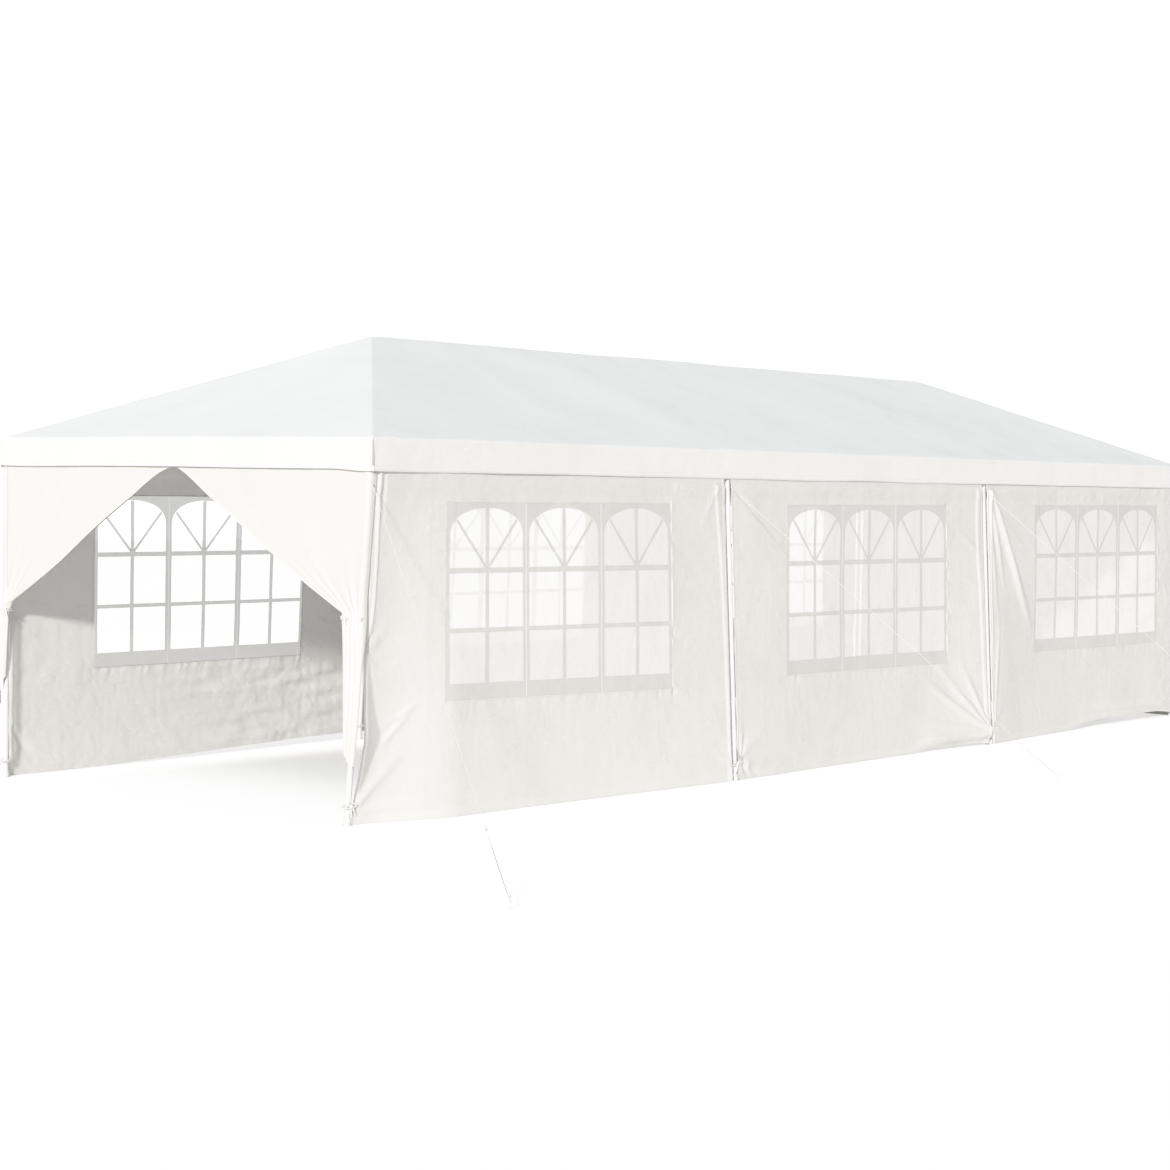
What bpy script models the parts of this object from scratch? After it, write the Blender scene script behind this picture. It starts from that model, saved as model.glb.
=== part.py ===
"""Party marquee, 3 m wide and 9 m long, with a hipped roof, six window walls and a door at each end.

Units are metres and +Z is up. The origin is on the ground in the middle of the floor. +Y runs along the
tent, away from the open door, and +X points at the side that the near corner leg stands on.
"""

import math

import bmesh
import bpy
from mathutils import Matrix, Vector

# Overall size of the roof cover
COVER_WIDTH = 3.0
COVER_LENGTH = 9.0
EAVE_HEIGHT = 1.96
RIDGE_HEIGHT = 2.59
RIDGE_INSET = 1.5
VALANCE_DEPTH = 0.17

# Cloth and film
COVER_THICKNESS = 0.003
WALL_THICKNESS = 0.002
FILM_THICKNESS = 0.0015
HEM_HEIGHT = 0.003

# Steel tubes and the fittings that join them
LEG_INSET = 0.03
LEG_RADIUS = 0.016
TUBE_RADIUS = 0.0125
FITTING_RADIUS = 0.016
HUB_RADIUS = 0.018
ARM_LENGTH = 0.09
TUBE_SEAT = 0.03
TUBE_SIDES = 12
FACET_TURN = math.radians(7)

# Feet of the legs
FOOT_RADIUS = 0.028
FOOT_PLATE = 0.004
FOOT_CAP_RADIUS = 0.021
FOOT_CAP_HEIGHT = 0.035
NEAR_LEG_LEAN = 0.15
MIDDLE_LEG_SPLAY = 0.10

# Windows. The shifts are how far a window is from the middle of its bay, towards the rear
WINDOW_WIDTH = {"right": 1.885, "left": 1.74}
WINDOW_BOTTOM = 0.60
WINDOW_TOP = 1.635
WINDOW_SHIFT = {
    "right": {"front": 0.0, "middle": 0.06, "rear": 0.20},
    "left": {"front": 0.05, "middle": -0.05, "rear": 0.12},
}
WALL_EDGE_GAP = 0.03

# Door halves that are tied back to the front legs
DOOR_EDGE_X = 1.44
DOOR_APEX_HEIGHT = 1.81
RIGHT_TIE_X = 1.30
RIGHT_TIE_HEIGHT = 1.08
RIGHT_BUNCH_END = 0.35
LEFT_TIE_X = -1.41
LEFT_TIE_HEIGHT = 0.98
LEFT_BUNCH_END = 0.42
BUNCH_TOP_RADIUS = 0.065
BUNCH_END_RADIUS = 0.032
BUNCH_FLATNESS = 0.45
BUNCH_SIDES = 10

# Guy ropes and the heads of their pegs
ROPE_RADIUS = 0.0015
ROPE_SIDES = 6
ROPE_TOP_HEIGHT = 1.74
LOOP_CLEARANCE = 0.0006
CORNER_PEG_X = 3.50
CORNER_PEG_Y = 5.70
SIDE_PEG_X = 2.95
SIDE_PEG_RUN = 1.39
PEG_RADIUS = 0.003
PEG_HEIGHT = 0.05
PEG_HOOK = 0.022
PEG_SIDES = 6

# Clearance between pieces that touch
GAP = 0.0003

# Places worked out from the sizes above
HALF_WIDTH = COVER_WIDTH / 2
HALF_LENGTH = COVER_LENGTH / 2
PITCH = math.atan((RIDGE_HEIGHT - EAVE_HEIGHT) / HALF_WIDTH)
AXIS_DROP = (COVER_THICKNESS + GAP + HUB_RADIUS) / math.cos(PITCH)
LEG_X = HALF_WIDTH - LEG_INSET
LEG_END_Y = HALF_LENGTH - LEG_INSET
LEG_MID_Y = LEG_END_Y / 3
RAIL_HEIGHT = EAVE_HEIGHT + LEG_INSET * math.tan(PITCH) - AXIS_DROP
RIDGE_AXIS_HEIGHT = RIDGE_HEIGHT - AXIS_DROP
RIDGE_END_Y = HALF_LENGTH - RIDGE_INSET
LEG_TOP = RAIL_HEIGHT - ARM_LENGTH - GAP
WALL_OFFSET = FITTING_RADIUS + GAP
WALL_TOP = RAIL_HEIGHT + 0.005

SIDES = {"right": 1, "left": -1}
LEG_ROWS = {
    "front": -LEG_END_Y,
    "middle_front": -LEG_MID_Y,
    "middle_rear": LEG_MID_Y,
    "rear": LEG_END_Y,
}
BAYS = {
    "front": (-LEG_END_Y, -LEG_MID_Y),
    "middle": (-LEG_MID_Y, LEG_MID_Y),
    "rear": (LEG_MID_Y, LEG_END_Y),
}

# Planes that flat outlines are drawn in: the columns are the outline's right, its up and its thickness
ALONG_TENT = Matrix(((0, 0, 1), (1, 0, 0), (0, 1, 0)))
ACROSS_TENT = Matrix(((1, 0, 0), (0, 0, -1), (0, 1, 0)))


def clear_scene():
    for old in list(bpy.data.objects):
        bpy.data.objects.remove(old, do_unlink=True)


def new_collection(name):
    made = bpy.data.collections.new(name)
    bpy.context.scene.collection.children.link(made)
    return made


def new_material(name, colour, roughness, metallic=0.0, alpha=1.0):
    made = bpy.data.materials.new(name)
    made.use_nodes = True
    shader = made.node_tree.nodes["Principled BSDF"]
    shader.inputs["Base Color"].default_value = (*colour, 1.0)
    shader.inputs["Roughness"].default_value = roughness
    shader.inputs["Metallic"].default_value = metallic
    shader.inputs["Alpha"].default_value = alpha
    return made


clear_scene()
TENT = new_collection("marquee_tent")
HELPERS = new_collection("helpers")
FRAME_PAINT = new_material("frame_paint", (0.86, 0.86, 0.85), 0.35, 0.1)
ROOF_CLOTH = new_material("roof_cloth", (0.86, 0.87, 0.88), 0.55)
WALL_CLOTH = new_material("wall_cloth", (0.80, 0.79, 0.77), 0.6)
DOOR_CLOTH = new_material("door_cloth", (0.90, 0.89, 0.87), 0.6)
WINDOW_FILM = new_material("window_film", (0.88, 0.89, 0.89), 0.12, alpha=0.4)
ROPE_CORD = new_material("rope_cord", (0.88, 0.87, 0.84), 0.8)


def add_object(name, data, collection):
    made = bpy.data.objects.new(name, data)
    collection.objects.link(made)
    return made


def mesh_of(bm, name):
    mesh = bpy.data.meshes.new(name)
    bm.to_mesh(mesh)
    bm.free()
    return mesh


def helper(bm):
    """A solid that a union below takes in."""
    made = add_object("helper", mesh_of(bm, "helper"), HELPERS)
    made.hide_render = True
    made.display_type = "WIRE"
    return made


def shade(obj):
    obj.data.shade_smooth()
    obj.data.set_sharp_from_angle(angle=math.radians(35))


def finish(obj, material):
    obj.data.materials.clear()
    obj.data.materials.append(material)
    if obj.type == "MESH":
        shade(obj)
    return obj


def baked_mesh(obj, name):
    """The object's evaluated mesh in world space, with loose curve caps welded."""
    bpy.context.view_layer.update()
    evaluated = obj.evaluated_get(bpy.context.evaluated_depsgraph_get())
    mesh = bpy.data.meshes.new_from_object(evaluated)
    mesh.transform(obj.matrix_world)
    mesh.name = name
    bm = bmesh.new()
    bm.from_mesh(mesh)
    bmesh.ops.remove_doubles(bm, verts=bm.verts, dist=1e-6)
    bmesh.ops.recalc_face_normals(bm, faces=bm.faces)
    bm.to_mesh(mesh)
    bm.free()
    return mesh


def joined(name, solids, material):
    """One solid made from the helpers, which are then removed."""
    base = solids[0]
    for other in solids[1:]:
        union = base.modifiers.new("union", "BOOLEAN")
        union.operation = "UNION"
        union.solver = "EXACT"
        union.object = other
    made = add_object(name, baked_mesh(base, name), TENT)
    for solid in solids:
        bpy.data.objects.remove(solid, do_unlink=True)
    return finish(made, material)


def rod(start, end, radius, sides=TUBE_SIDES, end_radius=None, spin=0.0):
    """A round bar between two points, its facets turned about its own axis by spin."""
    start, end = Vector(start), Vector(end)
    run = end - start
    bm = bmesh.new()
    bmesh.ops.create_cone(
        bm,
        cap_ends=True,
        segments=sides,
        radius1=radius,
        radius2=radius if end_radius is None else end_radius,
        depth=run.length,
    )
    turn = Vector((0, 0, 1)).rotation_difference(run).to_matrix().to_4x4()
    bm.transform(Matrix.Translation((start + end) / 2) @ turn @ Matrix.Rotation(spin, 4, "Z"))
    return bm


def ball(centre, radius):
    bm = bmesh.new()
    bmesh.ops.create_uvsphere(bm, u_segments=TUBE_SIDES, v_segments=8, radius=radius)
    bm.transform(Matrix.Translation(centre))
    return bm


def wire(points, radius, sides):
    """A bent wire with closed ends, as a helper."""
    data = bpy.data.curves.new("wire", "CURVE")
    data.dimensions = "3D"
    data.bevel_depth = radius
    data.bevel_resolution = sides // 2 - 2
    data.use_fill_caps = True
    spline = data.splines.new("POLY")
    spline.points.add(len(points) - 1)
    for point, place in zip(spline.points, points):
        point.co = (*place, 1)
    curve = add_object("wire", data, HELPERS)
    made = add_object("helper", baked_mesh(curve, "helper"), HELPERS)
    made.hide_render = True
    made.display_type = "WIRE"
    bpy.data.objects.remove(curve, do_unlink=True)
    return made


def fitting(hub, directions, sleeve=None):
    """A welded tube fitting: arms that meet in a round hub, and a sleeve if a tube runs through.

    Each arm's facets are turned a little further, so that no two arms meet edge on edge in the union.
    """
    solids = [helper(ball(hub, HUB_RADIUS))]
    for count, direction in enumerate(directions, start=1):
        tip = hub + ARM_LENGTH * Vector(direction).normalized()
        solids.append(helper(rod(hub, tip, FITTING_RADIUS, spin=count * FACET_TURN)))
    if sleeve:
        reach = ARM_LENGTH * Vector(sleeve)
        solids.append(helper(rod(hub - reach, hub + reach, FITTING_RADIUS, spin=FACET_TURN / 2)))
    return solids


def eave_hub(side, y):
    return Vector((side * LEG_X, y, RAIL_HEIGHT))


def ridge_hub(y):
    return Vector((0, y, RIDGE_AXIS_HEIGHT))


def hip_direction(side, end):
    """From a corner of the eaves up to the end of the ridge."""
    return ridge_hub(end * RIDGE_END_Y) - eave_hub(side, end * LEG_END_Y)


def side_direction(side, y):
    """From an eave rail up to the ridge, straight across the tent."""
    return ridge_hub(y) - eave_hub(side, y)


def end_rail(name, end):
    """The rail over a door, with the corner fittings at its two ends."""
    y = end * LEG_END_Y
    seat = Vector((TUBE_SEAT, 0, 0))
    solids = [helper(rod(eave_hub(-1, y) + seat, eave_hub(1, y) - seat, TUBE_RADIUS))]
    for side in SIDES.values():
        arms = [(-side, 0, 0), (0, -end, 0), (0, 0, -1), hip_direction(side, end)]
        solids += fitting(eave_hub(side, y), arms)
    joined(name, solids, FRAME_PAINT)


def side_rail(name, side):
    """The long eave rail, with the two fittings that stand on the middle legs."""
    reach = LEG_END_Y - ARM_LENGTH - GAP
    solids = [helper(rod(eave_hub(side, -reach), eave_hub(side, reach), TUBE_RADIUS))]
    for y in (-LEG_MID_Y, LEG_MID_Y):
        arms = [(0, 0, -1), side_direction(side, y)]
        solids += fitting(eave_hub(side, y), arms, sleeve=(0, 1, 0))
    joined(name, solids, FRAME_PAINT)


def ridge_pole():
    """The ridge tube with its peak fittings and the two that the side rafters meet in."""
    reach = RIDGE_END_Y - TUBE_SEAT
    solids = [helper(rod(ridge_hub(-reach), ridge_hub(reach), TUBE_RADIUS))]
    for end in (-1, 1):
        hips = [-hip_direction(side, end) for side in SIDES.values()]
        solids += fitting(ridge_hub(end * RIDGE_END_Y), [(0, -end, 0), *hips])
    for y in (-LEG_MID_Y, LEG_MID_Y):
        rafters = [-side_direction(side, y) for side in SIDES.values()]
        solids += fitting(ridge_hub(y), rafters, sleeve=(0, 1, 0))
    joined("ridge_pole", solids, FRAME_PAINT)


def rafter(name, low_hub, high_hub):
    """A straight tube between the arms of two fittings."""
    along = (high_hub - low_hub).normalized()
    end = ARM_LENGTH + GAP
    mesh = mesh_of(rod(low_hub + end * along, high_hub - end * along, TUBE_RADIUS), name)
    finish(add_object(name, mesh, TENT), FRAME_PAINT)


def rafters():
    for word, side in SIDES.items():
        for place, end in (("front", -1), ("rear", 1)):
            corner = eave_hub(side, end * LEG_END_Y)
            rafter(f"hip_rafter_{word}_{place}", corner, ridge_hub(end * RIDGE_END_Y))
            y = end * LEG_MID_Y
            rafter(f"side_rafter_{word}_{place}", eave_hub(side, y), ridge_hub(y))


def leg_centre(side, y, height):
    """The middle of a leg at a height.

    The near corner leg leans, its foot pushed in under the door, and the middle legs splay outward.
    """
    x = side * LEG_X
    below_top = 1 - height / LEG_TOP
    if side > 0 and y == -LEG_END_Y:
        x -= NEAR_LEG_LEAN * below_top
    if abs(y) == LEG_MID_Y:
        x += side * MIDDLE_LEG_SPLAY * below_top
    return Vector((x, y, height))


def leg(name, side, y):
    """A turned tube with its foot cap and foot plate, sheared where the leg leans so that the foot stays flat."""
    outline = (
        (0, LEG_TOP),
        (LEG_RADIUS, LEG_TOP),
        (LEG_RADIUS, FOOT_CAP_HEIGHT + 0.005),
        (FOOT_CAP_RADIUS, FOOT_CAP_HEIGHT),
        (FOOT_CAP_RADIUS, FOOT_PLATE),
        (FOOT_RADIUS, FOOT_PLATE),
        (FOOT_RADIUS, 0),
        (0, 0),
    )
    bm = bmesh.new()
    verts = [bm.verts.new((r, 0, z)) for r, z in outline]
    for a, b in zip(verts, verts[1:]):
        bm.edges.new((a, b))
    made = add_object(name, mesh_of(bm, name), HELPERS)
    turn = made.modifiers.new("turn", "SCREW")
    turn.axis = "Z"
    turn.steps = TUBE_SIDES
    turn.render_steps = TUBE_SIDES
    turn.use_merge_vertices = True
    turn.merge_threshold = 0.0001
    mesh = baked_mesh(made, name)
    bpy.data.objects.remove(made, do_unlink=True)
    foot, top = leg_centre(side, y, 0), leg_centre(side, y, LEG_TOP)
    lean = Matrix.Identity(4)
    lean[0][2] = (top.x - foot.x) / LEG_TOP
    mesh.transform(Matrix.Translation(foot) @ lean)
    finish(add_object(name, mesh, TENT), FRAME_PAINT)


def legs():
    for word, side in SIDES.items():
        for place, y in LEG_ROWS.items():
            leg(f"leg_{word}_{place}", side, y)


def roof_cover():
    """The hipped cover and its valance: one sheet, given its thickness on the inside."""
    bm = bmesh.new()
    bmesh.ops.create_cube(bm, size=1)
    bmesh.ops.scale(bm, vec=(COVER_WIDTH, COVER_LENGTH, VALANCE_DEPTH), verts=bm.verts)
    bmesh.ops.translate(bm, vec=(0, 0, EAVE_HEIGHT - VALANCE_DEPTH / 2), verts=bm.verts)
    bm.normal_update()
    top = next(f for f in bm.faces if f.normal.z > 0.5)
    bottom = next(f for f in bm.faces if f.normal.z < -0.5)
    bmesh.ops.delete(bm, geom=[bottom], context="FACES_ONLY")
    raised = bmesh.ops.extrude_discrete_faces(bm, faces=[top])["faces"][0]
    for vert in raised.verts:
        vert.co = (0, math.copysign(RIDGE_END_Y, vert.co.y), RIDGE_HEIGHT)
    bmesh.ops.remove_doubles(bm, verts=bm.verts, dist=1e-4)
    bmesh.ops.recalc_face_normals(bm, faces=bm.faces)
    cover = add_object("roof_cover", mesh_of(bm, "roof_cover"), TENT)
    shell = cover.modifiers.new("thickness", "SOLIDIFY")
    shell.thickness = COVER_THICKNESS
    shell.offset = -1
    shell.use_even_offset = True
    finish(cover, ROOF_CLOTH)


def outline(name, loops, plane, place, thickness, collection):
    """A flat sheet cut to closed loops of points: the first is its edge and the rest are openings."""
    data = bpy.data.curves.new(name, "CURVE")
    data.dimensions = "2D"
    data.fill_mode = "BOTH"
    data.extrude = thickness / 2
    for loop in loops:
        spline = data.splines.new("POLY")
        spline.points.add(len(loop) - 1)
        for point, (across, up) in zip(spline.points, loop):
            point.co = (across, up, 0, 1)
        spline.use_cyclic_u = True
    made = add_object(name, data, collection)
    made.matrix_world = Matrix.Translation(place) @ plane.to_4x4()
    return made


def box_loop(left, right, bottom, top):
    return [(left, bottom), (right, bottom), (right, top), (left, top)]


def near_edge(plain):
    """Points up the near edge of the wall at the near corner, where the cloth pulls away from its leg."""
    low = [(plain, HEM_HEIGHT), (plain, 0.26), (plain + 0.075, 0.50)]
    return [*low, (plain, 0.77), (plain, 1.21), (plain + 0.07, WALL_TOP)]


def window_bounds(side_word, bay):
    middle = sum(BAYS[bay]) / 2 + WINDOW_SHIFT[side_word][bay]
    half = WINDOW_WIDTH[side_word] / 2
    return middle - half, middle + half, WINDOW_BOTTOM, WINDOW_TOP


def window_wall(side_word, bay):
    """A side wall between two legs, with the opening of its window."""
    side = SIDES[side_word]
    low, high = BAYS[bay][0] + WALL_EDGE_GAP, BAYS[bay][1] - WALL_EDGE_GAP
    near = [(low, HEM_HEIGHT), (low, WALL_TOP)]
    if (side_word, bay) == ("right", "front"):
        near = near_edge(low)
    loops = [[*near, (high, WALL_TOP), (high, HEM_HEIGHT)], box_loop(*window_bounds(side_word, bay))]
    place = (side * (LEG_X + WALL_OFFSET + WALL_THICKNESS / 2), 0, 0)
    name = f"window_wall_{side_word}_{bay}"
    wall = outline(name, loops, ALONG_TENT, place, WALL_THICKNESS, TENT)
    wall.data.materials.append(WALL_CLOTH)


def window_film(side_word, bay):
    """The clear film that closes a window opening."""
    left, right, bottom, top = window_bounds(side_word, bay)
    bm = bmesh.new()
    bmesh.ops.create_cube(bm, size=1)
    size = (FILM_THICKNESS, right - left - 2 * GAP, top - bottom - 2 * GAP)
    bmesh.ops.scale(bm, vec=size, verts=bm.verts)
    x = SIDES[side_word] * (LEG_X + WALL_OFFSET + WALL_THICKNESS / 2)
    bmesh.ops.translate(bm, vec=(x, (left + right) / 2, (bottom + top) / 2), verts=bm.verts)
    name = f"window_film_{side_word}_{bay}"
    finish(add_object(name, mesh_of(bm, name), TENT), WINDOW_FILM)


def side_walls():
    for word in SIDES:
        for bay in BAYS:
            window_wall(word, bay)
            window_film(word, bay)


def door_sheet_place(end):
    return (0, end * (LEG_END_Y + WALL_OFFSET + WALL_THICKNESS / 2), 0)


def front_door_half(name, side, tie_x, tie_height, bunch_end):
    """Half of the door cloth: a sail from the ridge line to the leg, and the bunch tied in front of the leg."""
    loop = [
        (side * GAP * 5, WALL_TOP),
        (side * DOOR_EDGE_X, WALL_TOP),
        (side * DOOR_EDGE_X, tie_height - 0.1),
        (tie_x + side * 0.02, tie_height - 0.1),
        (tie_x, tie_height),
        (side * GAP * 5, DOOR_APEX_HEIGHT),
    ]
    curve = outline("sail", [loop], ACROSS_TENT, door_sheet_place(-1), WALL_THICKNESS, HELPERS)
    sail = add_object("helper", baked_mesh(curve, "helper"), HELPERS)
    bpy.data.objects.remove(curve, do_unlink=True)
    top = leg_centre(side, -LEG_END_Y, tie_height)
    end = leg_centre(side, -LEG_END_Y, bunch_end)
    bunch = rod((top.x, 0, top.z), (end.x, 0, end.z), BUNCH_TOP_RADIUS, BUNCH_SIDES, BUNCH_END_RADIUS)
    bmesh.ops.scale(bunch, vec=(1, BUNCH_FLATNESS, 1), verts=bunch.verts)
    back = max(vert.co.y for vert in bunch.verts)
    shift = -LEG_END_Y - WALL_OFFSET - back
    bmesh.ops.translate(bunch, vec=(-side * 0.015, shift, 0), verts=bunch.verts)
    joined(name, [sail, helper(bunch)], DOOR_CLOTH)


def rear_door():
    """The closed door at the far end."""
    loops = [box_loop(-DOOR_EDGE_X, DOOR_EDGE_X, HEM_HEIGHT, WALL_TOP)]
    door = outline("rear_door", loops, ACROSS_TENT, door_sheet_place(1), WALL_THICKNESS, TENT)
    door.data.materials.append(DOOR_CLOTH)


def guy_rope(name, side, y, peg):
    """A taut rope from a loop round the leg to a peg, of which the hooked head stands out of the ground."""
    leg_place = leg_centre(side, y, ROPE_TOP_HEIGHT)
    loop_radius = LEG_RADIUS + LOOP_CLEARANCE + ROPE_RADIUS
    bpy.ops.mesh.primitive_torus_add(
        location=leg_place,
        major_radius=loop_radius,
        minor_radius=ROPE_RADIUS,
        major_segments=16,
        minor_segments=ROPE_SIDES,
    )
    torus = bpy.context.object
    loop = add_object("helper", baked_mesh(torus, "helper"), HELPERS)
    bpy.data.objects.remove(torus, do_unlink=True)
    foot = Vector((*peg, PEG_HEIGHT * 0.7))
    away = Vector((foot.x - leg_place.x, foot.y - leg_place.y, 0)).normalized()
    rope = rod(leg_place + loop_radius * away, foot, ROPE_RADIUS, ROPE_SIDES)
    base = Vector((*peg, 0))
    hook = [
        base,
        base + Vector((0, 0, PEG_HEIGHT)),
        base + Vector((0, 0, PEG_HEIGHT + 0.4 * PEG_HOOK)) + 0.5 * PEG_HOOK * away,
        base + Vector((0, 0, PEG_HEIGHT)) + PEG_HOOK * away,
        base + Vector((0, 0, PEG_HEIGHT - 0.6 * PEG_HOOK)) + PEG_HOOK * away,
    ]
    joined(name, [loop, helper(rope), wire(hook, PEG_RADIUS, PEG_SIDES)], ROPE_CORD)


def guy_ropes():
    for word, side in SIDES.items():
        for place, y in LEG_ROWS.items():
            peg = (side * SIDE_PEG_X, y + SIDE_PEG_RUN)
            if abs(y) == LEG_END_Y:
                peg = (side * CORNER_PEG_X, math.copysign(CORNER_PEG_Y, y))
            guy_rope(f"guy_rope_{word}_{place}", side, y, peg)


legs()
end_rail("front_eave_rail", -1)
end_rail("rear_eave_rail", 1)
side_rail("right_eave_rail", 1)
side_rail("left_eave_rail", -1)
ridge_pole()
rafters()
roof_cover()
side_walls()
front_door_half("front_door_right", 1, RIGHT_TIE_X, RIGHT_TIE_HEIGHT, RIGHT_BUNCH_END)
front_door_half("front_door_left", -1, LEFT_TIE_X, LEFT_TIE_HEIGHT, LEFT_BUNCH_END)
rear_door()
guy_ropes()
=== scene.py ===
"""Looks of the party marquee: its cloth, windows, tied-back door, ropes and light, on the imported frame.

Everything is in metres in the part's frame. The origin is on the ground in the middle of the floor, +Y runs
along the tent, away from the open door, and +X points at the side that the near corner leg stands on.
"""

import functools
import math

import bmesh
import bpy
import numpy as np
from mathutils import Matrix, Vector

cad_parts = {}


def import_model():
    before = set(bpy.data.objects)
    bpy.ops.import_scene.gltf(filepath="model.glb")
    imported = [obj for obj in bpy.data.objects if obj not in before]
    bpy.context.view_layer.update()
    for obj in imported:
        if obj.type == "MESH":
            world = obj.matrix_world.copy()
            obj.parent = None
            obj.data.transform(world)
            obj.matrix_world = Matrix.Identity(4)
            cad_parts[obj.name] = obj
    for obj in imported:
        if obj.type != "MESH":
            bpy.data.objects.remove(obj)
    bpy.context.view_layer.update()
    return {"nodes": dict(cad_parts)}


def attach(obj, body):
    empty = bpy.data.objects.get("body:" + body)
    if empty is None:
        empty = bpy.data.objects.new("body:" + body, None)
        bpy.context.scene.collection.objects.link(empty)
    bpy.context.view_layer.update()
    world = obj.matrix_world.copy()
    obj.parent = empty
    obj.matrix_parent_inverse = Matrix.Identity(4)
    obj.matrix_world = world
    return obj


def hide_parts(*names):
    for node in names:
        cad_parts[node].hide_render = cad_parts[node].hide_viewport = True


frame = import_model()

# Sizes repeated from the part
HALF_WIDTH = 1.5
HALF_LENGTH = 4.5
EAVE_HEIGHT = 1.96
RIDGE_HEIGHT = 2.59
VALANCE_DEPTH = 0.17
SLOPE = (RIDGE_HEIGHT - EAVE_HEIGHT) / HALF_WIDTH
COVER_THICKNESS = 0.003
LEG_X = 1.47
LEG_END_Y = 4.47
LEG_MID_Y = 1.49
LEG_TOP = 1.8592
LEG_RADIUS = 0.016
NEAR_LEG_LEAN = 0.15
MIDDLE_LEG_SPLAY = 0.10
WALL_X = 1.4873
WALL_BOTTOM = 0.003
WALL_TOP = 1.9545
WALL_EDGE_GAP = 0.03
WINDOW_BOTTOM = 0.60
WINDOW_TOP = 1.635
WINDOW_WIDTH = {"right": 1.885, "left": 1.74}
WINDOW_SHIFT = {
    "right": {"front": 0.0, "middle": 0.06, "rear": 0.20},
    "left": {"front": 0.05, "middle": -0.05, "rear": 0.12},
}
ROPE_TOP_HEIGHT = 1.74
CORNER_PEG = (3.50, 5.70)
SIDE_PEG_X = 2.95
SIDE_PEG_RUN = 1.39
ROPE_RADIUS = 0.0015
PEG_HEIGHT = 0.048
PEG_BEND = 0.011

# Sizes of the details that only this scene has
SLIDE_RUN = 0.42
FOOT_TIE_HEIGHT = 0.10
HEM_TOP = 0.050
HEM_WIDTH = 0.022
HEM_HEIGHT = 0.0016
RAIL_HEIGHTS = (1.74, 1.86)

X_WAY, Y_WAY, UP = np.eye(3)
SIDES = {"right": 1, "left": -1}
SIDE_WORDS = {1: "right", -1: "left"}
BAYS = {
    "front": (-LEG_END_Y, -LEG_MID_Y),
    "middle": (-LEG_MID_Y, LEG_MID_Y),
    "rear": (LEG_MID_Y, LEG_END_Y),
}
LEG_ROWS = {
    "front": -LEG_END_Y,
    "middle_front": -LEG_MID_Y,
    "middle_rear": LEG_MID_Y,
    "rear": LEG_END_Y,
}

# Camera that matches the photograph: focal length in pixels of the 1170 pixel frame
IMAGE_SIZE = 1170
FOCAL_PIXELS = 2398.8
CAMERA_PLACE = (9.905, -13.000, 1.717)
CAMERA_AZIMUTH = math.radians(-39.568)
CAMERA_PITCH = math.radians(-2.297)
CAMERA_ROLL = math.radians(0.860)

# Light: the direction points at the lamp. The floor glows a little, less of it under the roof, which paints
# shade there
SUN_DIRECTION = (0.42, -0.83, 0.36)
SUN_STRENGTH = 3.4
SUN_ANGLE = math.radians(4)
SKY_STRENGTH = 0.44
BACKDROP_STRENGTH = 1.5
FLOOR_GLOW = 0.50
INSIDE_GLOW = 0.03
TONE_CURVE = ((0.0, 0.0), (0.72, 0.72), (1.0, 0.925), (1.3, 1.0))


def smooth(t):
    t = np.clip(t, 0, 1)
    return t * t * (3 - 2 * t)


def bell(distance, width):
    return np.exp(-((distance / width) ** 2))


def band(x, low, high, soft):
    """1 between low and high, falling to 0 over soft outside them."""
    return smooth((x - low) / soft + 1) * smooth((high - x) / soft + 1)


def beside_rail(z):
    """1 at the height of the eave rails, round which the cloth bulges, and 0 well below and above."""
    return band(z, *RAIL_HEIGHTS, 0.09)


def through(knots, x):
    """A smooth line through (place, value) knots, flat beyond its ends."""
    places, values = (np.array(column, float) for column in zip(*knots))
    slopes = np.gradient(values, places)
    i = np.clip(np.searchsorted(places, x) - 1, 0, len(places) - 2)
    step = places[i + 1] - places[i]
    t = np.clip((x - places[i]) / step, 0, 1)
    start = values[i] * (1 + 2 * t) * (1 - t) ** 2 + slopes[i] * step * t * (1 - t) ** 2
    end = values[i + 1] * t * t * (3 - 2 * t) + slopes[i + 1] * step * t * t * (t - 1)
    return start + end


def noise(u, v, seed):
    """Smooth noise between -1 and 1, with a new value at each whole step of u and v."""
    table = np.random.default_rng(seed).uniform(-1, 1, (97, 89))
    i = np.floor(u).astype(int)
    j = np.floor(v).astype(int)
    a, b = smooth(u - i), smooth(v - j)
    low = table[i % 97, j % 89] * (1 - a) + table[(i + 1) % 97, j % 89] * a
    high = table[i % 97, (j + 1) % 89] * (1 - a) + table[(i + 1) % 97, (j + 1) % 89] * a
    return low * (1 - b) + high * b


def crumple(u, v, seed, size):
    """Creased cloth, about -1 to 1: sharp ridges between soft dents, at three scales."""
    total = 0
    for octave in range(3):
        scale = 2**octave / size
        a, b = (u, v) if octave % 2 else (0.8 * u + 0.6 * v, 0.8 * v - 0.6 * u)
        total = total + (0.5 - np.abs(noise(a * scale, b * scale, seed + octave))) / 1.6**octave
    return total


def puckers(along, away, seed, spacing, reach, height, slant=0.0):
    """Short wrinkles that run away from a seam and die out."""
    n = noise((along + slant * away) / spacing, away / (6 * spacing) + 3, seed)
    fade = np.exp(-np.clip(away, 0, None) / reach) * smooth(away / 0.006)
    return height * (1 - 2.4 * np.abs(n)) * fade


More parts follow.
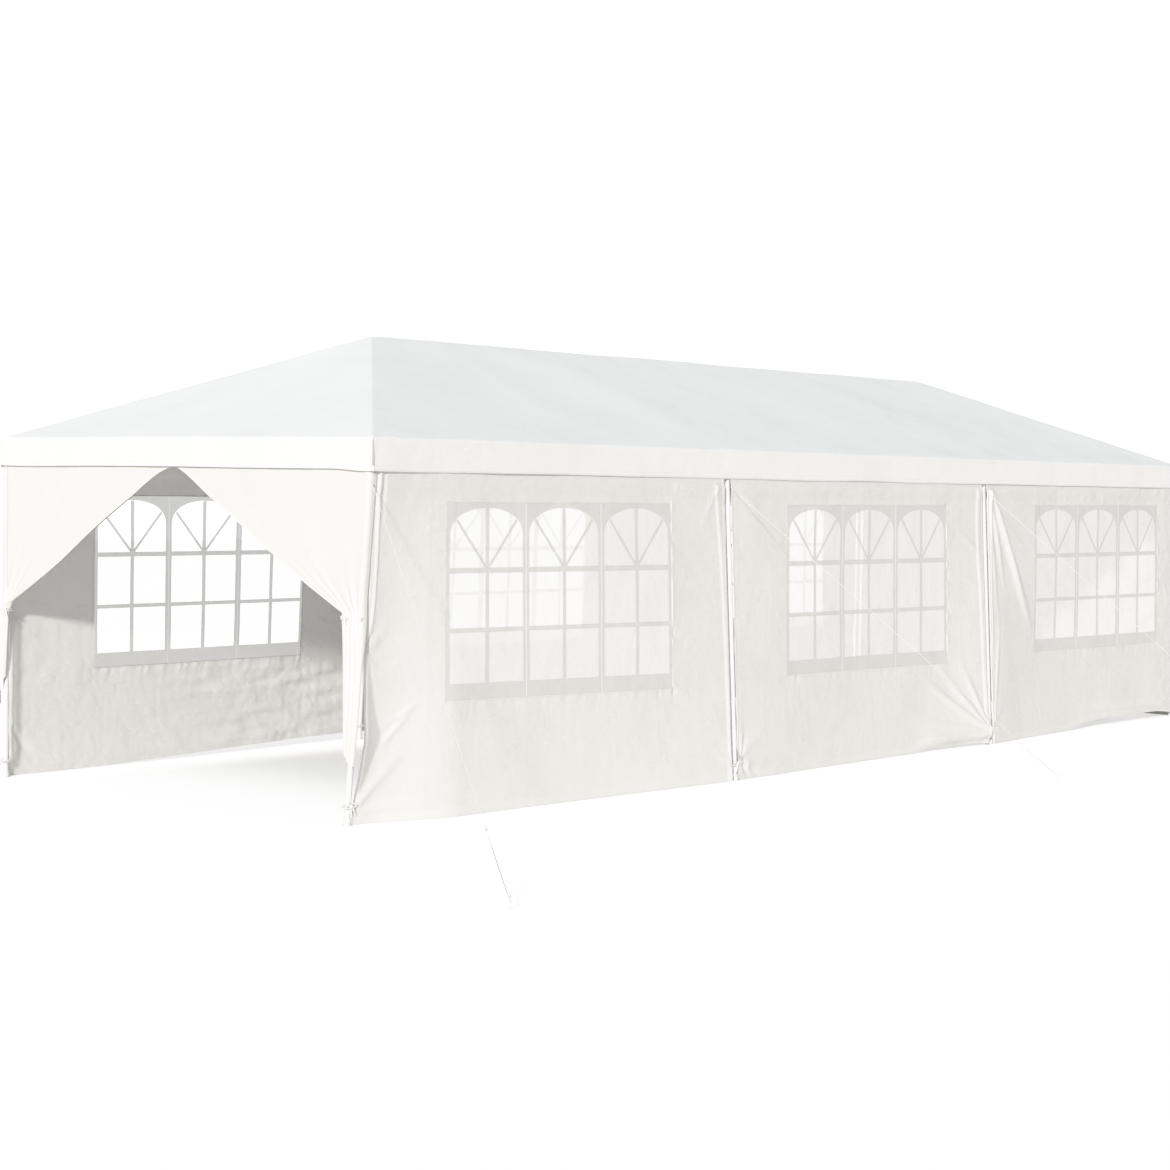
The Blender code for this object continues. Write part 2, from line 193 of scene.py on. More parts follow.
def crease(u, v, start, end, width, height, skew=0.0):
    """A ridge from start to end that is tallest near its start and fades out; skew steepens one side."""
    du, dv = end[0] - start[0], end[1] - start[1]
    length = math.hypot(du, dv)
    t = ((u - start[0]) * du + (v - start[1]) * dv) / length**2
    across = ((v - start[1]) * du - (u - start[0]) * dv) / length
    side = across / (width * (0.5 + 0.8 * np.clip(t, 0, 1)))
    return height * smooth(t / 0.08) * smooth((1 - t) / 0.6) * np.exp(-(side**2)) * (1 + skew * side)


def star(u, v, centre, seed, count, reach, height):
    """Creases that run out from a point where the cloth is tied."""
    du, dv = u - centre[0], v - centre[1]
    radius = np.hypot(du, dv)
    n = noise(np.arctan2(dv, du) / (2 * math.pi) * count + 50, radius / 0.15, seed)
    return height * (0.6 - 1.6 * np.abs(n)) * np.exp(-radius / reach) * smooth(radius / 0.02)


def lines(low, high, step, marks=(), fine=None, reach=0.0):
    """Grid lines from low to high, with one on each mark and finer ones near the marks."""
    stops = sorted({low, high, *(m for m in marks if low < m < high)})
    places = [low]
    for a, b in zip(stops, stops[1:]):
        x = a
        cell = []
        while x < b - 1e-9:
            near = min([abs(x - m) for m in marks] + [1.0])
            x += fine if fine and near < reach else step
            cell.append(x)
        scale = (b - a) / (cell[-1] - a)
        places += [a + (x - a) * scale for x in cell]
    return np.array(places)


def grid(points, keep=None, facing=None):
    """Quads over a grid of points, without the cells where keep is false, turned to face a direction."""
    points = np.array(points)
    rows, columns = points.shape[:2]
    index = np.arange(rows * columns).reshape(rows, columns)
    quads = np.stack([index[:-1, :-1], index[:-1, 1:], index[1:, 1:], index[1:, :-1]], axis=-1)
    quads = quads[keep] if keep is not None else quads.reshape(-1, 4)
    used, quads = np.unique(quads, return_inverse=True)
    quads = quads.reshape(-1, 4)
    points = points.reshape(-1, 3)[used]
    if facing is not None:
        a, b, c = (points[quads[:, k]] for k in range(3))
        if np.cross(b - a, c - b).sum(axis=0) @ np.array(facing, float) < 0:
            quads = quads[:, ::-1]
    return points, quads


def tube(path, radius, sides=8, closed=False, flat=1.0):
    """A round tube along a path with rounded ends, or a flat band where flat is under 1."""
    path = np.array(path, float)
    radii = np.full(len(path), float(radius))
    if closed:
        run = np.roll(path, -1, axis=0) - np.roll(path, 1, axis=0)
    else:
        first, last = (e / np.linalg.norm(e) * radius for e in (path[1] - path[0], path[-1] - path[-2]))
        head = [path[0] - first * k for k in (0.5, 0.35)]
        tail = [path[-1] + last * k for k in (0.35, 0.5)]
        path = np.vstack([head, path, tail])
        radii = radius * np.concatenate([[1e-3, 0.7], np.ones(len(radii)), [0.7, 1e-3]])
        run = np.gradient(path, axis=0)
    run /= np.linalg.norm(run, axis=1)[:, None]
    side = np.cross(run[0], (0, 0, 1) if abs(run[0][2]) < 0.9 else (0, 1, 0))
    turn = np.linspace(0, 2 * math.pi, sides + 1)
    rings = []
    for point, ahead, r in zip(path, run, radii):
        side = side - ahead * (side @ ahead)
        side /= np.linalg.norm(side)
        other = np.cross(ahead, side)
        rings.append(point + r * (np.outer(np.cos(turn), side) + flat * np.outer(np.sin(turn), other)))
    return grid(rings + rings[:1] if closed else rings)


def ring(centre, radius, first, second, count=24):
    """Places round a circle, from the first direction towards the second."""
    turn = np.linspace(0, 2 * math.pi, count + 1)[:-1]
    return [centre + radius * (math.cos(t) * first + math.sin(t) * second) for t in turn]


def new_object(name, data):
    made = bpy.data.objects.new(name, data)
    bpy.context.scene.collection.objects.link(made)
    return made


def add_piece(name, parts, material, weld=1e-5):
    """An object from several grids, welded where they meet, which rides on the tent's one body."""
    starts = np.cumsum([0] + [len(part[0]) for part in parts])
    points = np.concatenate([part[0] for part in parts])
    quads = np.concatenate([part[1] + start for part, start in zip(parts, starts)])
    mesh = bpy.data.meshes.new(name)
    mesh.vertices.add(len(points))
    mesh.vertices.foreach_set("co", points.astype(np.float32).ravel())
    mesh.loops.add(quads.size)
    mesh.loops.foreach_set("vertex_index", quads.astype(np.int32).ravel())
    mesh.polygons.add(len(quads))
    mesh.polygons.foreach_set("loop_start", np.arange(0, quads.size, 4, dtype=np.int32))
    mesh.update(calc_edges=True)
    if weld:
        bm = bmesh.new()
        bm.from_mesh(mesh)
        bmesh.ops.remove_doubles(bm, verts=bm.verts, dist=weld)
        bmesh.ops.dissolve_degenerate(bm, edges=bm.edges, dist=1e-6)
        bm.to_mesh(mesh)
        bm.free()
    mesh.shade_smooth()
    mesh.materials.append(material)
    made = new_object(name, mesh)
    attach(made, "root")
    return made


# Materials

TAPE_WIDTH = 0.0032
STRAND_WIDTH = 0.004
ROPE_SOIL = (0.18, 0.36)


class Shader:
    """A node tree, with short calls to add nodes and to feed their inputs."""

    def __init__(self, made, output="ShaderNodeOutputMaterial"):
        made.use_nodes = True
        self.made = made
        self.tree = made.node_tree
        self.tree.nodes.clear()
        self.output = self.node(output)
        self.place = self.node("ShaderNodeTexCoord").outputs["Object"]

    def node(self, kind, inputs=None, **settings):
        """A node whose inputs, by name or number, are given as values or as other nodes' outputs."""
        made = self.tree.nodes.new(kind)
        for key, value in settings.items():
            setattr(made, key, value)
        for key, value in (inputs or {}).items():
            if isinstance(value, bpy.types.NodeSocket):
                self.tree.links.new(value, made.inputs[key])
            else:
                made.inputs[key].default_value = value
        return made

    def value(self, operation, *numbers):
        return self.node("ShaderNodeMath", dict(enumerate(numbers)), operation=operation).outputs[0]

    def noise(self, scale, detail=3.0, rough=0.5, stretch=None):
        where = self.place
        if stretch:
            where = self.node("ShaderNodeMapping", {"Scale": stretch, "Vector": where}).outputs["Vector"]
        inputs = {"Scale": scale, "Detail": detail, "Roughness": rough, "Vector": where}
        return self.node("ShaderNodeTexNoise", inputs).outputs["Fac"]

    def facets(self, scale):
        inputs = {"Scale": scale, "Vector": self.place}
        return self.node("ShaderNodeTexVoronoi", inputs, feature="DISTANCE_TO_EDGE").outputs["Distance"]

    def threads(self, direction, period):
        """Fine ribs across one axis, one to each period."""
        inputs = {"Scale": 2 * math.pi / 20 / period, "Distortion": 0.3, "Vector": self.place}
        made = self.node("ShaderNodeTexWave", inputs, wave_type="BANDS", bands_direction=direction)
        return made.outputs["Fac"]

    def height(self):
        """How high a place is above the ground."""
        return self.node("ShaderNodeSeparateXYZ", {0: self.place}).outputs["Z"]

    def ramp(self, source, *stops):
        """A colour ramp: each stop is a place with a colour, or with one grey level."""
        made = self.node("ShaderNodeValToRGB", {"Fac": source})
        elements = made.color_ramp.elements
        while len(elements) < len(stops):
            elements.new(0.5)
        for element, (place, colour) in zip(elements, stops):
            element.position = place
            element.color = (*colour, 1) if isinstance(colour, tuple) else (colour, colour, colour, 1)
        return made.outputs["Color"]

    def bump(self, height, distance, strength, under=None):
        inputs = {"Height": height, "Distance": distance, "Strength": strength}
        if under is not None:
            inputs["Normal"] = under
        return self.node("ShaderNodeBump", inputs).outputs["Normal"]

    def principled(self, colour, roughness, normal, metallic=0.0):
        inputs = {"Base Color": colour, "Roughness": roughness, "Normal": normal, "Metallic": metallic}
        return self.node("ShaderNodeBsdfPrincipled", inputs).outputs["BSDF"]

    def mix(self, share, first, second):
        return self.node("ShaderNodeMixShader", {0: share, 1: first, 2: second}).outputs["Shader"]

    def done(self, surface):
        self.tree.links.new(surface, self.output.inputs["Surface"])
        return self.made


def shader(name):
    return Shader(bpy.data.materials.new(name))


def shade_of(colour, factor):
    return tuple(min(1.0, c * factor) for c in colour)


def cloth_material(name, colour, axes, see_through, crinkle):
    """Woven plastic sheet: ribs of tape two ways, crinkles, a faint mottle, and light coming through it."""
    s = shader(name)
    mottle = s.noise(2.4, 6.0, 0.65)
    tint = s.ramp(mottle, (0.25, shade_of(colour, 0.95)), (0.5, colour), (0.75, shade_of(colour, 1.025)))
    weave = s.value("MAXIMUM", *(s.threads(axis, TAPE_WIDTH) for axis in axes))
    normal = s.bump(weave, 0.0004, 0.5)
    dents = s.ramp(s.noise(11.0, 2.0, 0.5, (1.0, 0.5, 1.3)), (0.62, 0.0), (0.72, 1.0))
    streaks = s.ramp(s.noise(26.0, 2.0, 0.5, (1.0, 0.4, 1.5)), (0.60, 0.0), (0.70, 1.0))
    crinkles = (
        (s.facets(14.0), 0.0012, 0.5), (s.noise(7.0), 0.0045, 0.6), (dents, 0.0020, 0.6),
        (streaks, 0.0007, 0.6),
    )
    for height, depth, strength in crinkles:
        normal = s.bump(height, depth * crinkle, strength, normal)
    rough = s.ramp(s.noise(30.0, 2.0), (0.3, 0.49), (0.7, 0.63))
    glow = s.node("ShaderNodeBsdfTranslucent", {"Color": tint, "Normal": normal})
    return s.done(s.mix(see_through, s.principled(tint, rough, normal), glow.outputs["BSDF"]))


def film_material(name, colour, outside, inside, roughness):
    """Clear film: hazy from outside, where the pale haze is partly the film's own and partly painted
    reflection of the sky, and nearly clear from inside.
    """
    s = shader(name)
    normal = s.bump(s.noise(4.0), 0.03, 0.35)
    tint = s.ramp(s.noise(2.3, 4.0, 0.6), (0.3, shade_of(colour, 0.98)), (0.7, colour))
    rough = s.ramp(s.noise(18.0), (0.3, roughness * 0.8), (0.7, roughness * 1.3))
    clear = s.node("ShaderNodeBsdfTransparent").outputs["BSDF"]
    behind = s.node("ShaderNodeNewGeometry").outputs["Backfacing"]
    share = s.value("MULTIPLY_ADD", behind, inside - outside, outside)
    return s.done(s.mix(share, clear, s.principled(tint, rough, normal)))


def plain_material(name, colour, roughness, grain, depth, metallic=0.0, wear=None):
    """A hard finish with fine grain, and wear that shows a second colour in patches."""
    s = shader(name)
    normal = s.bump(s.noise(grain, 3.0, 0.6), depth, 0.6)
    stops = [(0.3, shade_of(colour, 0.95)), (0.7, colour)] + ([(0.93, wear)] if wear else [])
    tint = s.ramp(s.noise(14.0, 5.0, 0.65), *stops)
    rough = s.ramp(s.noise(grain / 4, 2.0), (0.3, roughness * 0.85), (0.7, roughness * 1.25))
    return s.done(s.principled(tint, rough, normal, metallic))


def rope_material(name, soil):
    """White twisted cord, with slanting strands, soiled between two heights near the ground."""
    s = shader(name)
    strands = s.threads("DIAGONAL", STRAND_WIDTH)
    normal = s.bump(strands, 0.001, 0.8)
    clean = s.ramp(strands, (0.1, (0.70, 0.69, 0.65)), (0.7, (0.88, 0.87, 0.84)))
    soiled = s.ramp(strands, (0.1, (0.38, 0.38, 0.37)), (0.7, (0.52, 0.52, 0.51)))
    rise = s.node("ShaderNodeMapRange", {"Value": s.height(), "From Min": soil[0], "From Max": soil[1]})
    below, above = s.principled(soiled, 0.8, normal), s.principled(clean, 0.8, normal)
    return s.done(s.mix(rise.outputs["Result"], below, above))


# Roof and valance are one cloth: the bluish tint of the slopes is painted sky light, the warmer tint of the
# valance painted sunlight
SKY_TINTED_ROOF_CLOTH = cloth_material("roof_cloth_painted_skylight_look", (0.90, 0.92, 0.935), ("X", "Y"), 0.025, 0.5)
SUN_TINTED_VALANCE_CLOTH = cloth_material("valance_painted_sunlight_look", (0.918, 0.908, 0.888), ("Z", "DIAGONAL"), 0.04, 1.0)
WALL_CLOTH = cloth_material("wall_cloth_look", (0.785, 0.773, 0.740), ("Y", "Z"), 0.05, 1.2)
WALL_HEM = cloth_material("wall_hem_look", (0.80, 0.79, 0.762), ("Y", "Z"), 0.05, 0.7)
DOOR_CLOTH = cloth_material("door_cloth_look", (0.79, 0.775, 0.73), ("X", "Z"), 0.06, 1.0)
DOOR_HEM = cloth_material("door_hem_look", (0.81, 0.797, 0.755), ("X", "Z"), 0.05, 0.5)
FILM = film_material("window_film_look", (0.99, 0.98, 0.955), 0.81, 0.04, 0.32)
PRINT = film_material("window_print_look", (0.72, 0.71, 0.68), 0.86, 0.70, 0.35)
SEAM_LINE = film_material("window_seam_look", (0.90, 0.89, 0.87), 0.88, 0.72, 0.35)
# Dark grey of the valance corner strips: painted shadow in the folded corner seams
CORNER_PAINTED_SHADE = plain_material("corner_painted_shade_look", (0.50, 0.50, 0.49), 0.6, 400.0, 0.0004)
STEEL = plain_material("white_steel_look", (0.79, 0.79, 0.78), 0.34, 260.0, 0.0003, 0.0, (0.72, 0.71, 0.69))
PEG_STEEL = plain_material("peg_steel_look", (0.80, 0.80, 0.79), 0.42, 300.0, 0.0004, 0.3, (0.66, 0.64, 0.61))
DOOR_SEAM = plain_material("door_seam_look", (0.60, 0.59, 0.57), 0.6, 500.0, 0.0003)
RIBBON = plain_material("ribbon_look", (0.86, 0.85, 0.82), 0.7, 700.0, 0.0006)
ROPE = rope_material("rope_look", ROPE_SOIL)


# Roof cover: two long slopes, two end slopes and the valance, as one sheet


def roof_height(x, y):
    """Height of the cover's mid-surface over a point, rounded a little at the ridge and the hips."""
    lift = EAVE_HEIGHT - COVER_THICKNESS / 2 / math.cos(math.atan(SLOPE))
    across = HALF_WIDTH - np.sqrt(x**2 + 0.006**2)
    along = HALF_LENGTH - np.abs(y)
    inset = (across + along - np.sqrt((across - along) ** 2 + 0.009**2)) / 2
    return lift + SLOPE * inset


def roof_relief(x, y):
    """Sag between the tubes and small creases near the edges, in metres upward."""
    across = HALF_WIDTH - np.abs(x)
    along = HALF_LENGTH - np.abs(y)
    inset = np.minimum(across, along)
    belly = np.sin(math.pi * np.clip(inset / HALF_WIDTH, 0, 1))
    reach = np.clip(HALF_LENGTH - inset - LEG_MID_Y, 0.05, None)
    end_bay = np.sin(math.pi * np.clip((np.abs(y) - LEG_MID_Y) / reach, 0, 1))
    middle_bay = np.cos(math.pi * np.clip(y / (2 * LEG_MID_Y), -0.5, 0.5))
    long_side = np.where(np.abs(y) < LEG_MID_Y, middle_bay, end_bay)
    end_side = 1 - np.clip(np.abs(x) / np.clip(HALF_WIDTH - inset, 0.05, None), 0, 1) ** 2
    sag = np.where(across < along, 0.014 * long_side, 0.010 * end_side)
    hip = bell(across - along, 0.05)
    ripple = 0.0022 * noise(x / 0.16 + 9, y / 0.16 + 9, 71) * hip
    free = smooth(inset / 0.15) * (1 - hip)
    soft = 0.0028 * noise(x / 0.45, y / 0.5, 72) * free
    folds = 0.0010 * crumple(x, y, 73, 0.30) * free
    edge = puckers(np.where(across < along, y, x), inset, 74, 0.045, 0.05, 0.0018)
    return -sag * belly + ripple + soft + folds + edge


def crease_round(along, half):
    """Tangent length of the rounding at the eaves: tight at the posts and wide between them."""
    if half == HALF_WIDTH:
        return 0.005 + 0.017 * np.cos(math.pi * along / (2 * half)) ** 2
    free = np.sin(math.pi * (along + LEG_END_Y) / (2 * LEG_MID_Y)) ** 2
    return 0.005 + 0.010 * free * smooth((half - np.abs(along)) / 0.3)


END_FLARE = 0.010
END_HEM_LIFT = 0.013
VALANCE_ROWS = 11


def cover_side(facing, sign):
    """One slope and its strip of valance, as rows of points from the ridge down to the hem."""
    half, far = (HALF_LENGTH, HALF_WIDTH) if facing == "x" else (HALF_WIDTH, HALF_LENGTH)
    lift = COVER_THICKNESS / 2
    top = EAVE_HEIGHT - lift
    t = lines(0, 2 * half, 0.03, (0, 2 * half), 0.007, 0.05)[None, :] / (2 * half)
    along_eave = (2 * t - 1) * half
    tangent = crease_round(along_eave, half)

    def over(function, out, along):
        """A function of x and y, at a distance out and a place along the eave."""
        return function(out * sign, along) if facing == "x" else function(along, out * sign)

    shape = []
    for inset in lines(0.03, HALF_WIDTH, 0.026, (0.03, HALF_WIDTH), 0.006, 0.04)[::-1]:
        along = (2 * t - 1) * (half - inset)
        out = np.full_like(along, far - inset)
        shape.append((along, out, over(roof_height, out, along) + over(roof_relief, out, along)))
    for step in (0.0, 0.2, 0.4, 0.6, 0.8, 1.0):
        blend = (1 - step) ** 2
        start = tangent * 0.922
        inset = blend * start
        out = far - inset - lift * 0.6
        along = (2 * t - 1) * (half - inset)
        height = blend * (top + SLOPE * start) + 2 * step * (1 - step) * top + step**2 * (top - tangent)
        shape.append((along, out, height + blend * over(roof_relief, out, along)))
    seed = {("x", 1): 81, ("x", -1): 82, ("y", -1): 83, ("y", 1): 84}[facing, sign]
    corner = smooth((half - np.abs(along_eave)) / 0.07)
    tied_at, crease_size = (LEG_ROWS.values(), 0.0034) if facing == "x" else ((-half, half), 0.0048)
    for depth in lines(0.03, VALANCE_DEPTH, 0.014):
        drop = depth / VALANCE_DEPTH
        wave = 0.0025 * noise(along_eave / 0.42 + 20, 0 * t + drop, seed) * drop
        wave += 0.0009 * noise(along_eave / 0.10 + 20, 0 * t + 2 * drop, seed + 10)
        wave += 0.0009 * crumple(along_eave, 0 * t + depth, seed + 20, 0.09)
        wave += puckers(along_eave, 0 * t + depth - 0.02, seed + 30, 0.04, 0.05, 0.0014, 0.6)
        for place in tied_at:
            wave += star(along_eave, 0 * t - depth, (place, 0.01), seed + 50, 17, 0.13, crease_size)
        wave = np.maximum(wave, -0.0018)
        low = 0.0030 * noise(along_eave / 0.6 + 20, 0 * t, seed + 40) * corner * drop
        if facing == "y":
            wave += END_FLARE * drop**2
            low += END_HEM_LIFT * drop * (1 - smooth((along_eave * -sign - 1.22) / 0.25))
        shape.append((along_eave, far - lift + wave * corner, EAVE_HEIGHT - depth + low))
    points = []
    for along, out, height in shape:
        groove = -0.004 * bell(half - np.abs(along), 0.006) * smooth((EAVE_HEIGHT - height) / 0.02)
        along = along + np.sign(along) * groove
        out = (out + groove) * sign
        pair = (out, along) if facing == "x" else (along, out)
        points.append(np.stack([*pair, height], axis=-1)[0])
    return np.array(points)


def corner_shade_strip(side, end):
    """A dark strip down a corner of the valance, wider towards the hem: painted shadow of the folded corner
    seam.
    """
    depths = lines(0.004, VALANCE_DEPTH - 0.002, 0.012)
    shape = []
    for share, lift in ((0.0, 0.0006), (0.3, 0.0012), (0.7, 0.0012), (1.0, 0.0)):
        away = share * (0.009 + 0.010 * depths / VALANCE_DEPTH)
        x = HALF_WIDTH - COVER_THICKNESS / 2 - 0.004 * bell(away, 0.006) + 0.0008 + lift
        y = HALF_LENGTH - COVER_THICKNESS / 2 - 0.002 - away
        shape.append(np.stack([side * x, end * y, EAVE_HEIGHT - depths], axis=-1))
    return grid(shape, facing=(side, 0, 0))


def roof_cover():
    slopes, valance, hems = [], [], []
    for facing, sign in (("x", 1), ("x", -1), ("y", -1), ("y", 1)):
        out = sign * (X_WAY if facing == "x" else Y_WAY)
        points = cover_side(facing, sign)
        split = len(points) - VALANCE_ROWS
        slopes.append(grid(points[: split + 1], facing=out + UP))
        valance.append(grid(points[split:], facing=out + UP))
        top, low, end = points[-3:]
        rows = [top, top + 0.0012 * out, low + 0.0016 * out, end + 0.0014 * out, end - 0.0012 * UP]
        hems.append(grid(rows, facing=out + UP))
    cover = add_piece("roof_sheet", slopes + valance, SKY_TINTED_ROOF_CLOTH, 2e-5)
    # The valance faces take the warmer copy of the cloth, whose tint is painted sunlight
    cover.data.materials.append(SUN_TINTED_VALANCE_CLOTH)
    for face in cover.data.polygons:
        x, y, z = face.center
        if z < EAVE_HEIGHT - 0.004 and (abs(x) > 1.48 or abs(y) > 4.48):
            face.material_index = 1
    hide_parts("roof_cover")
    hem = add_piece("valance_hem", hems, SUN_TINTED_VALANCE_CLOTH)
    # Dark strips down the valance corners: painted shadow in the folded seams
    corners = [corner_shade_strip(side, end) for side in (1, -1) for end in (-1, 1)]
    thin_strips = add_piece("valance_corner_painted_shade", corners, CORNER_PAINTED_SHADE)


# Side walls

NEAR_EDGE_Y = -4.457
NEAR_FLARE_SLOPE = 0.34
NEAR_FLARE = (
    (0.003, -4.47), (0.10, -4.455), (0.146, -4.435), (0.253, -4.374), (0.367, -4.328), (0.437, -4.306),
    (0.583, -4.349), (0.686, -4.373), (0.80, -4.40), (0.92, -4.43), (1.02, -4.46), (1.9545, -4.47),
)
NEAR_RIDGE = (
    (0.95, -4.412), (1.033, -4.407), (1.143, -4.400), (1.269, -4.402), (1.395, -4.403), (1.545, -4.408),
    (1.646, -4.414), (1.745, -4.420), (1.9545, -4.428),
)
SPLAY_ALONG = (
    (-4.45, 0.0), (-3.9, 0.02), (-3.3, 0.18), (-2.4, 0.58), (-1.49, 1.0), (-1.0, 0.93), (-0.3, 0.68),
    (0.5, 0.58), (1.0, 0.62), (1.49, 1.0), (2.0, 0.62), (2.7, 0.24), (3.6, 0.08), (4.45, 0.0),
)
SECOND_LEG_FOLD = (
    (0.0, -1.562), (0.5, -1.565), (0.95, -1.575), (1.31, -1.592), (1.80, -1.640), (1.96, -1.66),
)
THIRD_LEG_FOLD = ((0.0, 1.425), (0.6, 1.405), (1.0, 1.395), (1.4, 1.370), (1.8, 1.385), (1.96, 1.39))
REAR_BAY_RIDGE = ((0.0, 1.52), (0.5, 1.53), (1.0, 1.54), (1.5, 1.545), (1.96, 1.54))
EDGE_REACH = 0.45
TOP_BULGE = 0.0065
TOP_LIMIT = 0.0068

# How far the cloth of each bay stops short of the legs' middles, at its two ends
EDGE_GAPS = {
    "right": {"front": (0.03, 0.055), "middle": (0.008, 0.050), "rear": (0.003, 0.03)},
    "left": {"front": (0.03, 0.002), "middle": (0.002, 0.002), "rear": (0.002, 0.03)},
}

# Single creases: start and end along the wall and up, width, height and skew
CREASES = {
    ("right", "front"): (
        ((-4.29, 0.50), (-4.05, 0.62), 0.012, 0.007),
        ((-4.29, 0.40), (-4.10, 0.60), 0.022, 0.009, 0.5),
        ((-4.42, 0.10), (-4.10, 0.42), 0.035, 0.008, 0.5),
        ((-4.43, 0.06), (-3.60, 0.16), 0.030, 0.005),
        ((-1.60, 1.76), (-1.80, 1.45), 0.020, 0.004),
    ),
    ("right", "middle"): (
        ((1.45, 0.08), (0.60, 0.56), 0.026, 0.015, -0.8),
        ((1.45, 0.08), (0.85, 0.62), 0.026, 0.014, -0.8),
        ((1.45, 0.08), (0.42, 0.26), 0.026, 0.011, -0.8),
        ((1.45, 0.08), (1.10, 0.66), 0.026, 0.010, -0.8),
        ((1.40, 0.08), (0.35, 0.09), 0.022, -0.014),
        ((1.38, 1.32), (1.10, 1.50), 0.020, 0.006),
        ((1.38, 1.10), (1.12, 1.18), 0.020, 0.005),
        ((-1.42, 1.75), (-1.10, 1.52), 0.022, 0.004),
    ),
    ("right", "rear"): (
        ((1.54, 1.79), (2.30, 0.62), 0.040, 0.022, -0.8),
        ((1.53, 1.78), (1.78, 1.00), 0.028, 0.014, -0.8),
        ((1.53, 1.76), (1.64, 0.70), 0.020, 0.010),
        ((1.56, 1.80), (2.25, 1.62), 0.030, 0.010),
        ((1.53, 0.12), (1.66, 0.95), 0.018, 0.009),
        ((4.40, 0.10), (2.60, 0.16), 0.030, 0.010),
    ),
    ("left", "front"): (
        ((-4.44, 0.30), (-4.20, 0.02), 0.03, 0.008),
        ((-1.55, 0.98), (-1.95, 0.80), 0.02, 0.008),
    ),
}

# How the cloth pulls each window's corners, along the wall and up: lower two, then upper two
WINDOW_PULL = {
    ("right", "front"): ((0.003, 0.008), (-0.041, -0.024), (-0.013, 0.003), (-0.030, 0.007)),
    ("right", "middle"): ((-0.065, -0.004), (-0.031, -0.022), (-0.016, 0.001), (-0.040, 0.008)),
    ("right", "rear"): ((-0.065, 0.002), (0.035, -0.010), (-0.050, 0.012), (-0.010, 0.018)),
    ("left", "front"): ((-0.017, 0.0), (-0.017, 0.0), (-0.017, 0.0), (-0.017, 0.0)),
}


def window_bounds(side, bay):
    middle = sum(BAYS[bay]) / 2 + WINDOW_SHIFT[SIDE_WORDS[side]][bay]
    half = WINDOW_WIDTH[SIDE_WORDS[side]] / 2
    return middle - half, middle + half, WINDOW_BOTTOM, WINDOW_TOP


def edges_of_wall(side, bay):
    """Where the cloth of a bay starts and ends."""
    at_low, at_high = EDGE_GAPS[SIDE_WORDS[side]][bay]
    return BAYS[bay][0] + at_low, BAYS[bay][1] - at_high


def window_pull(side, bay, y, z):
    """How far the cloth at a flat place is pulled along the wall and up, fading out beyond the window."""
    corners = WINDOW_PULL.get((SIDE_WORDS[side], bay))
    if corners is None:
        return 0 * y, 0 * y
    left, right, bottom, top = window_bounds(side, bay)
    low, high = edges_of_wall(side, bay)
    s = np.clip((y - left) / (right - left), 0, 1)
    t = np.clip((z - bottom) / (top - bottom), 0, 1)
    fade = smooth((y - low) / (left - low)) * smooth((high - y) / (high - right))
    fade = fade * smooth(z / bottom) * smooth((WALL_TOP - z) / (WALL_TOP - top))
    pulls = []
    for k in range(2):
        lower = corners[0][k] * (1 - s) + corners[1][k] * s
        upper = corners[2][k] * (1 - s) + corners[3][k] * s
        pulls.append((lower * (1 - t) + upper * t) * fade)
    return pulls


def hem_height(side, y):
    """How far the lower edge of a wall is above the ground."""
    if side > 0:
        lift = 0.020 * band(y, 0.80, 1.35, 0.35) + 0.055 * band(y, 3.3, 4.1, 0.7)
        return WALL_BOTTOM + lift * (1 - bell(y - LEG_MID_Y, 0.09))
    return WALL_BOTTOM + 0.050 * smooth((y + 4.2) / 2.6) * smooth((4.3 - y) / 2.0)


def lean_of_wall(side, y, z):
    """How far a wall stands out from its plane, as it follows legs that lean or splay."""
    below_top = 1 - np.clip(z, 0, LEG_TOP) / LEG_TOP
    out = MIDDLE_LEG_SPLAY * through(SPLAY_ALONG, y)
    if side > 0:
        near = 1 - smooth((y + LEG_END_Y - WALL_EDGE_GAP) / 0.62)
        out -= NEAR_LEG_LEAN * near
    return out * below_top


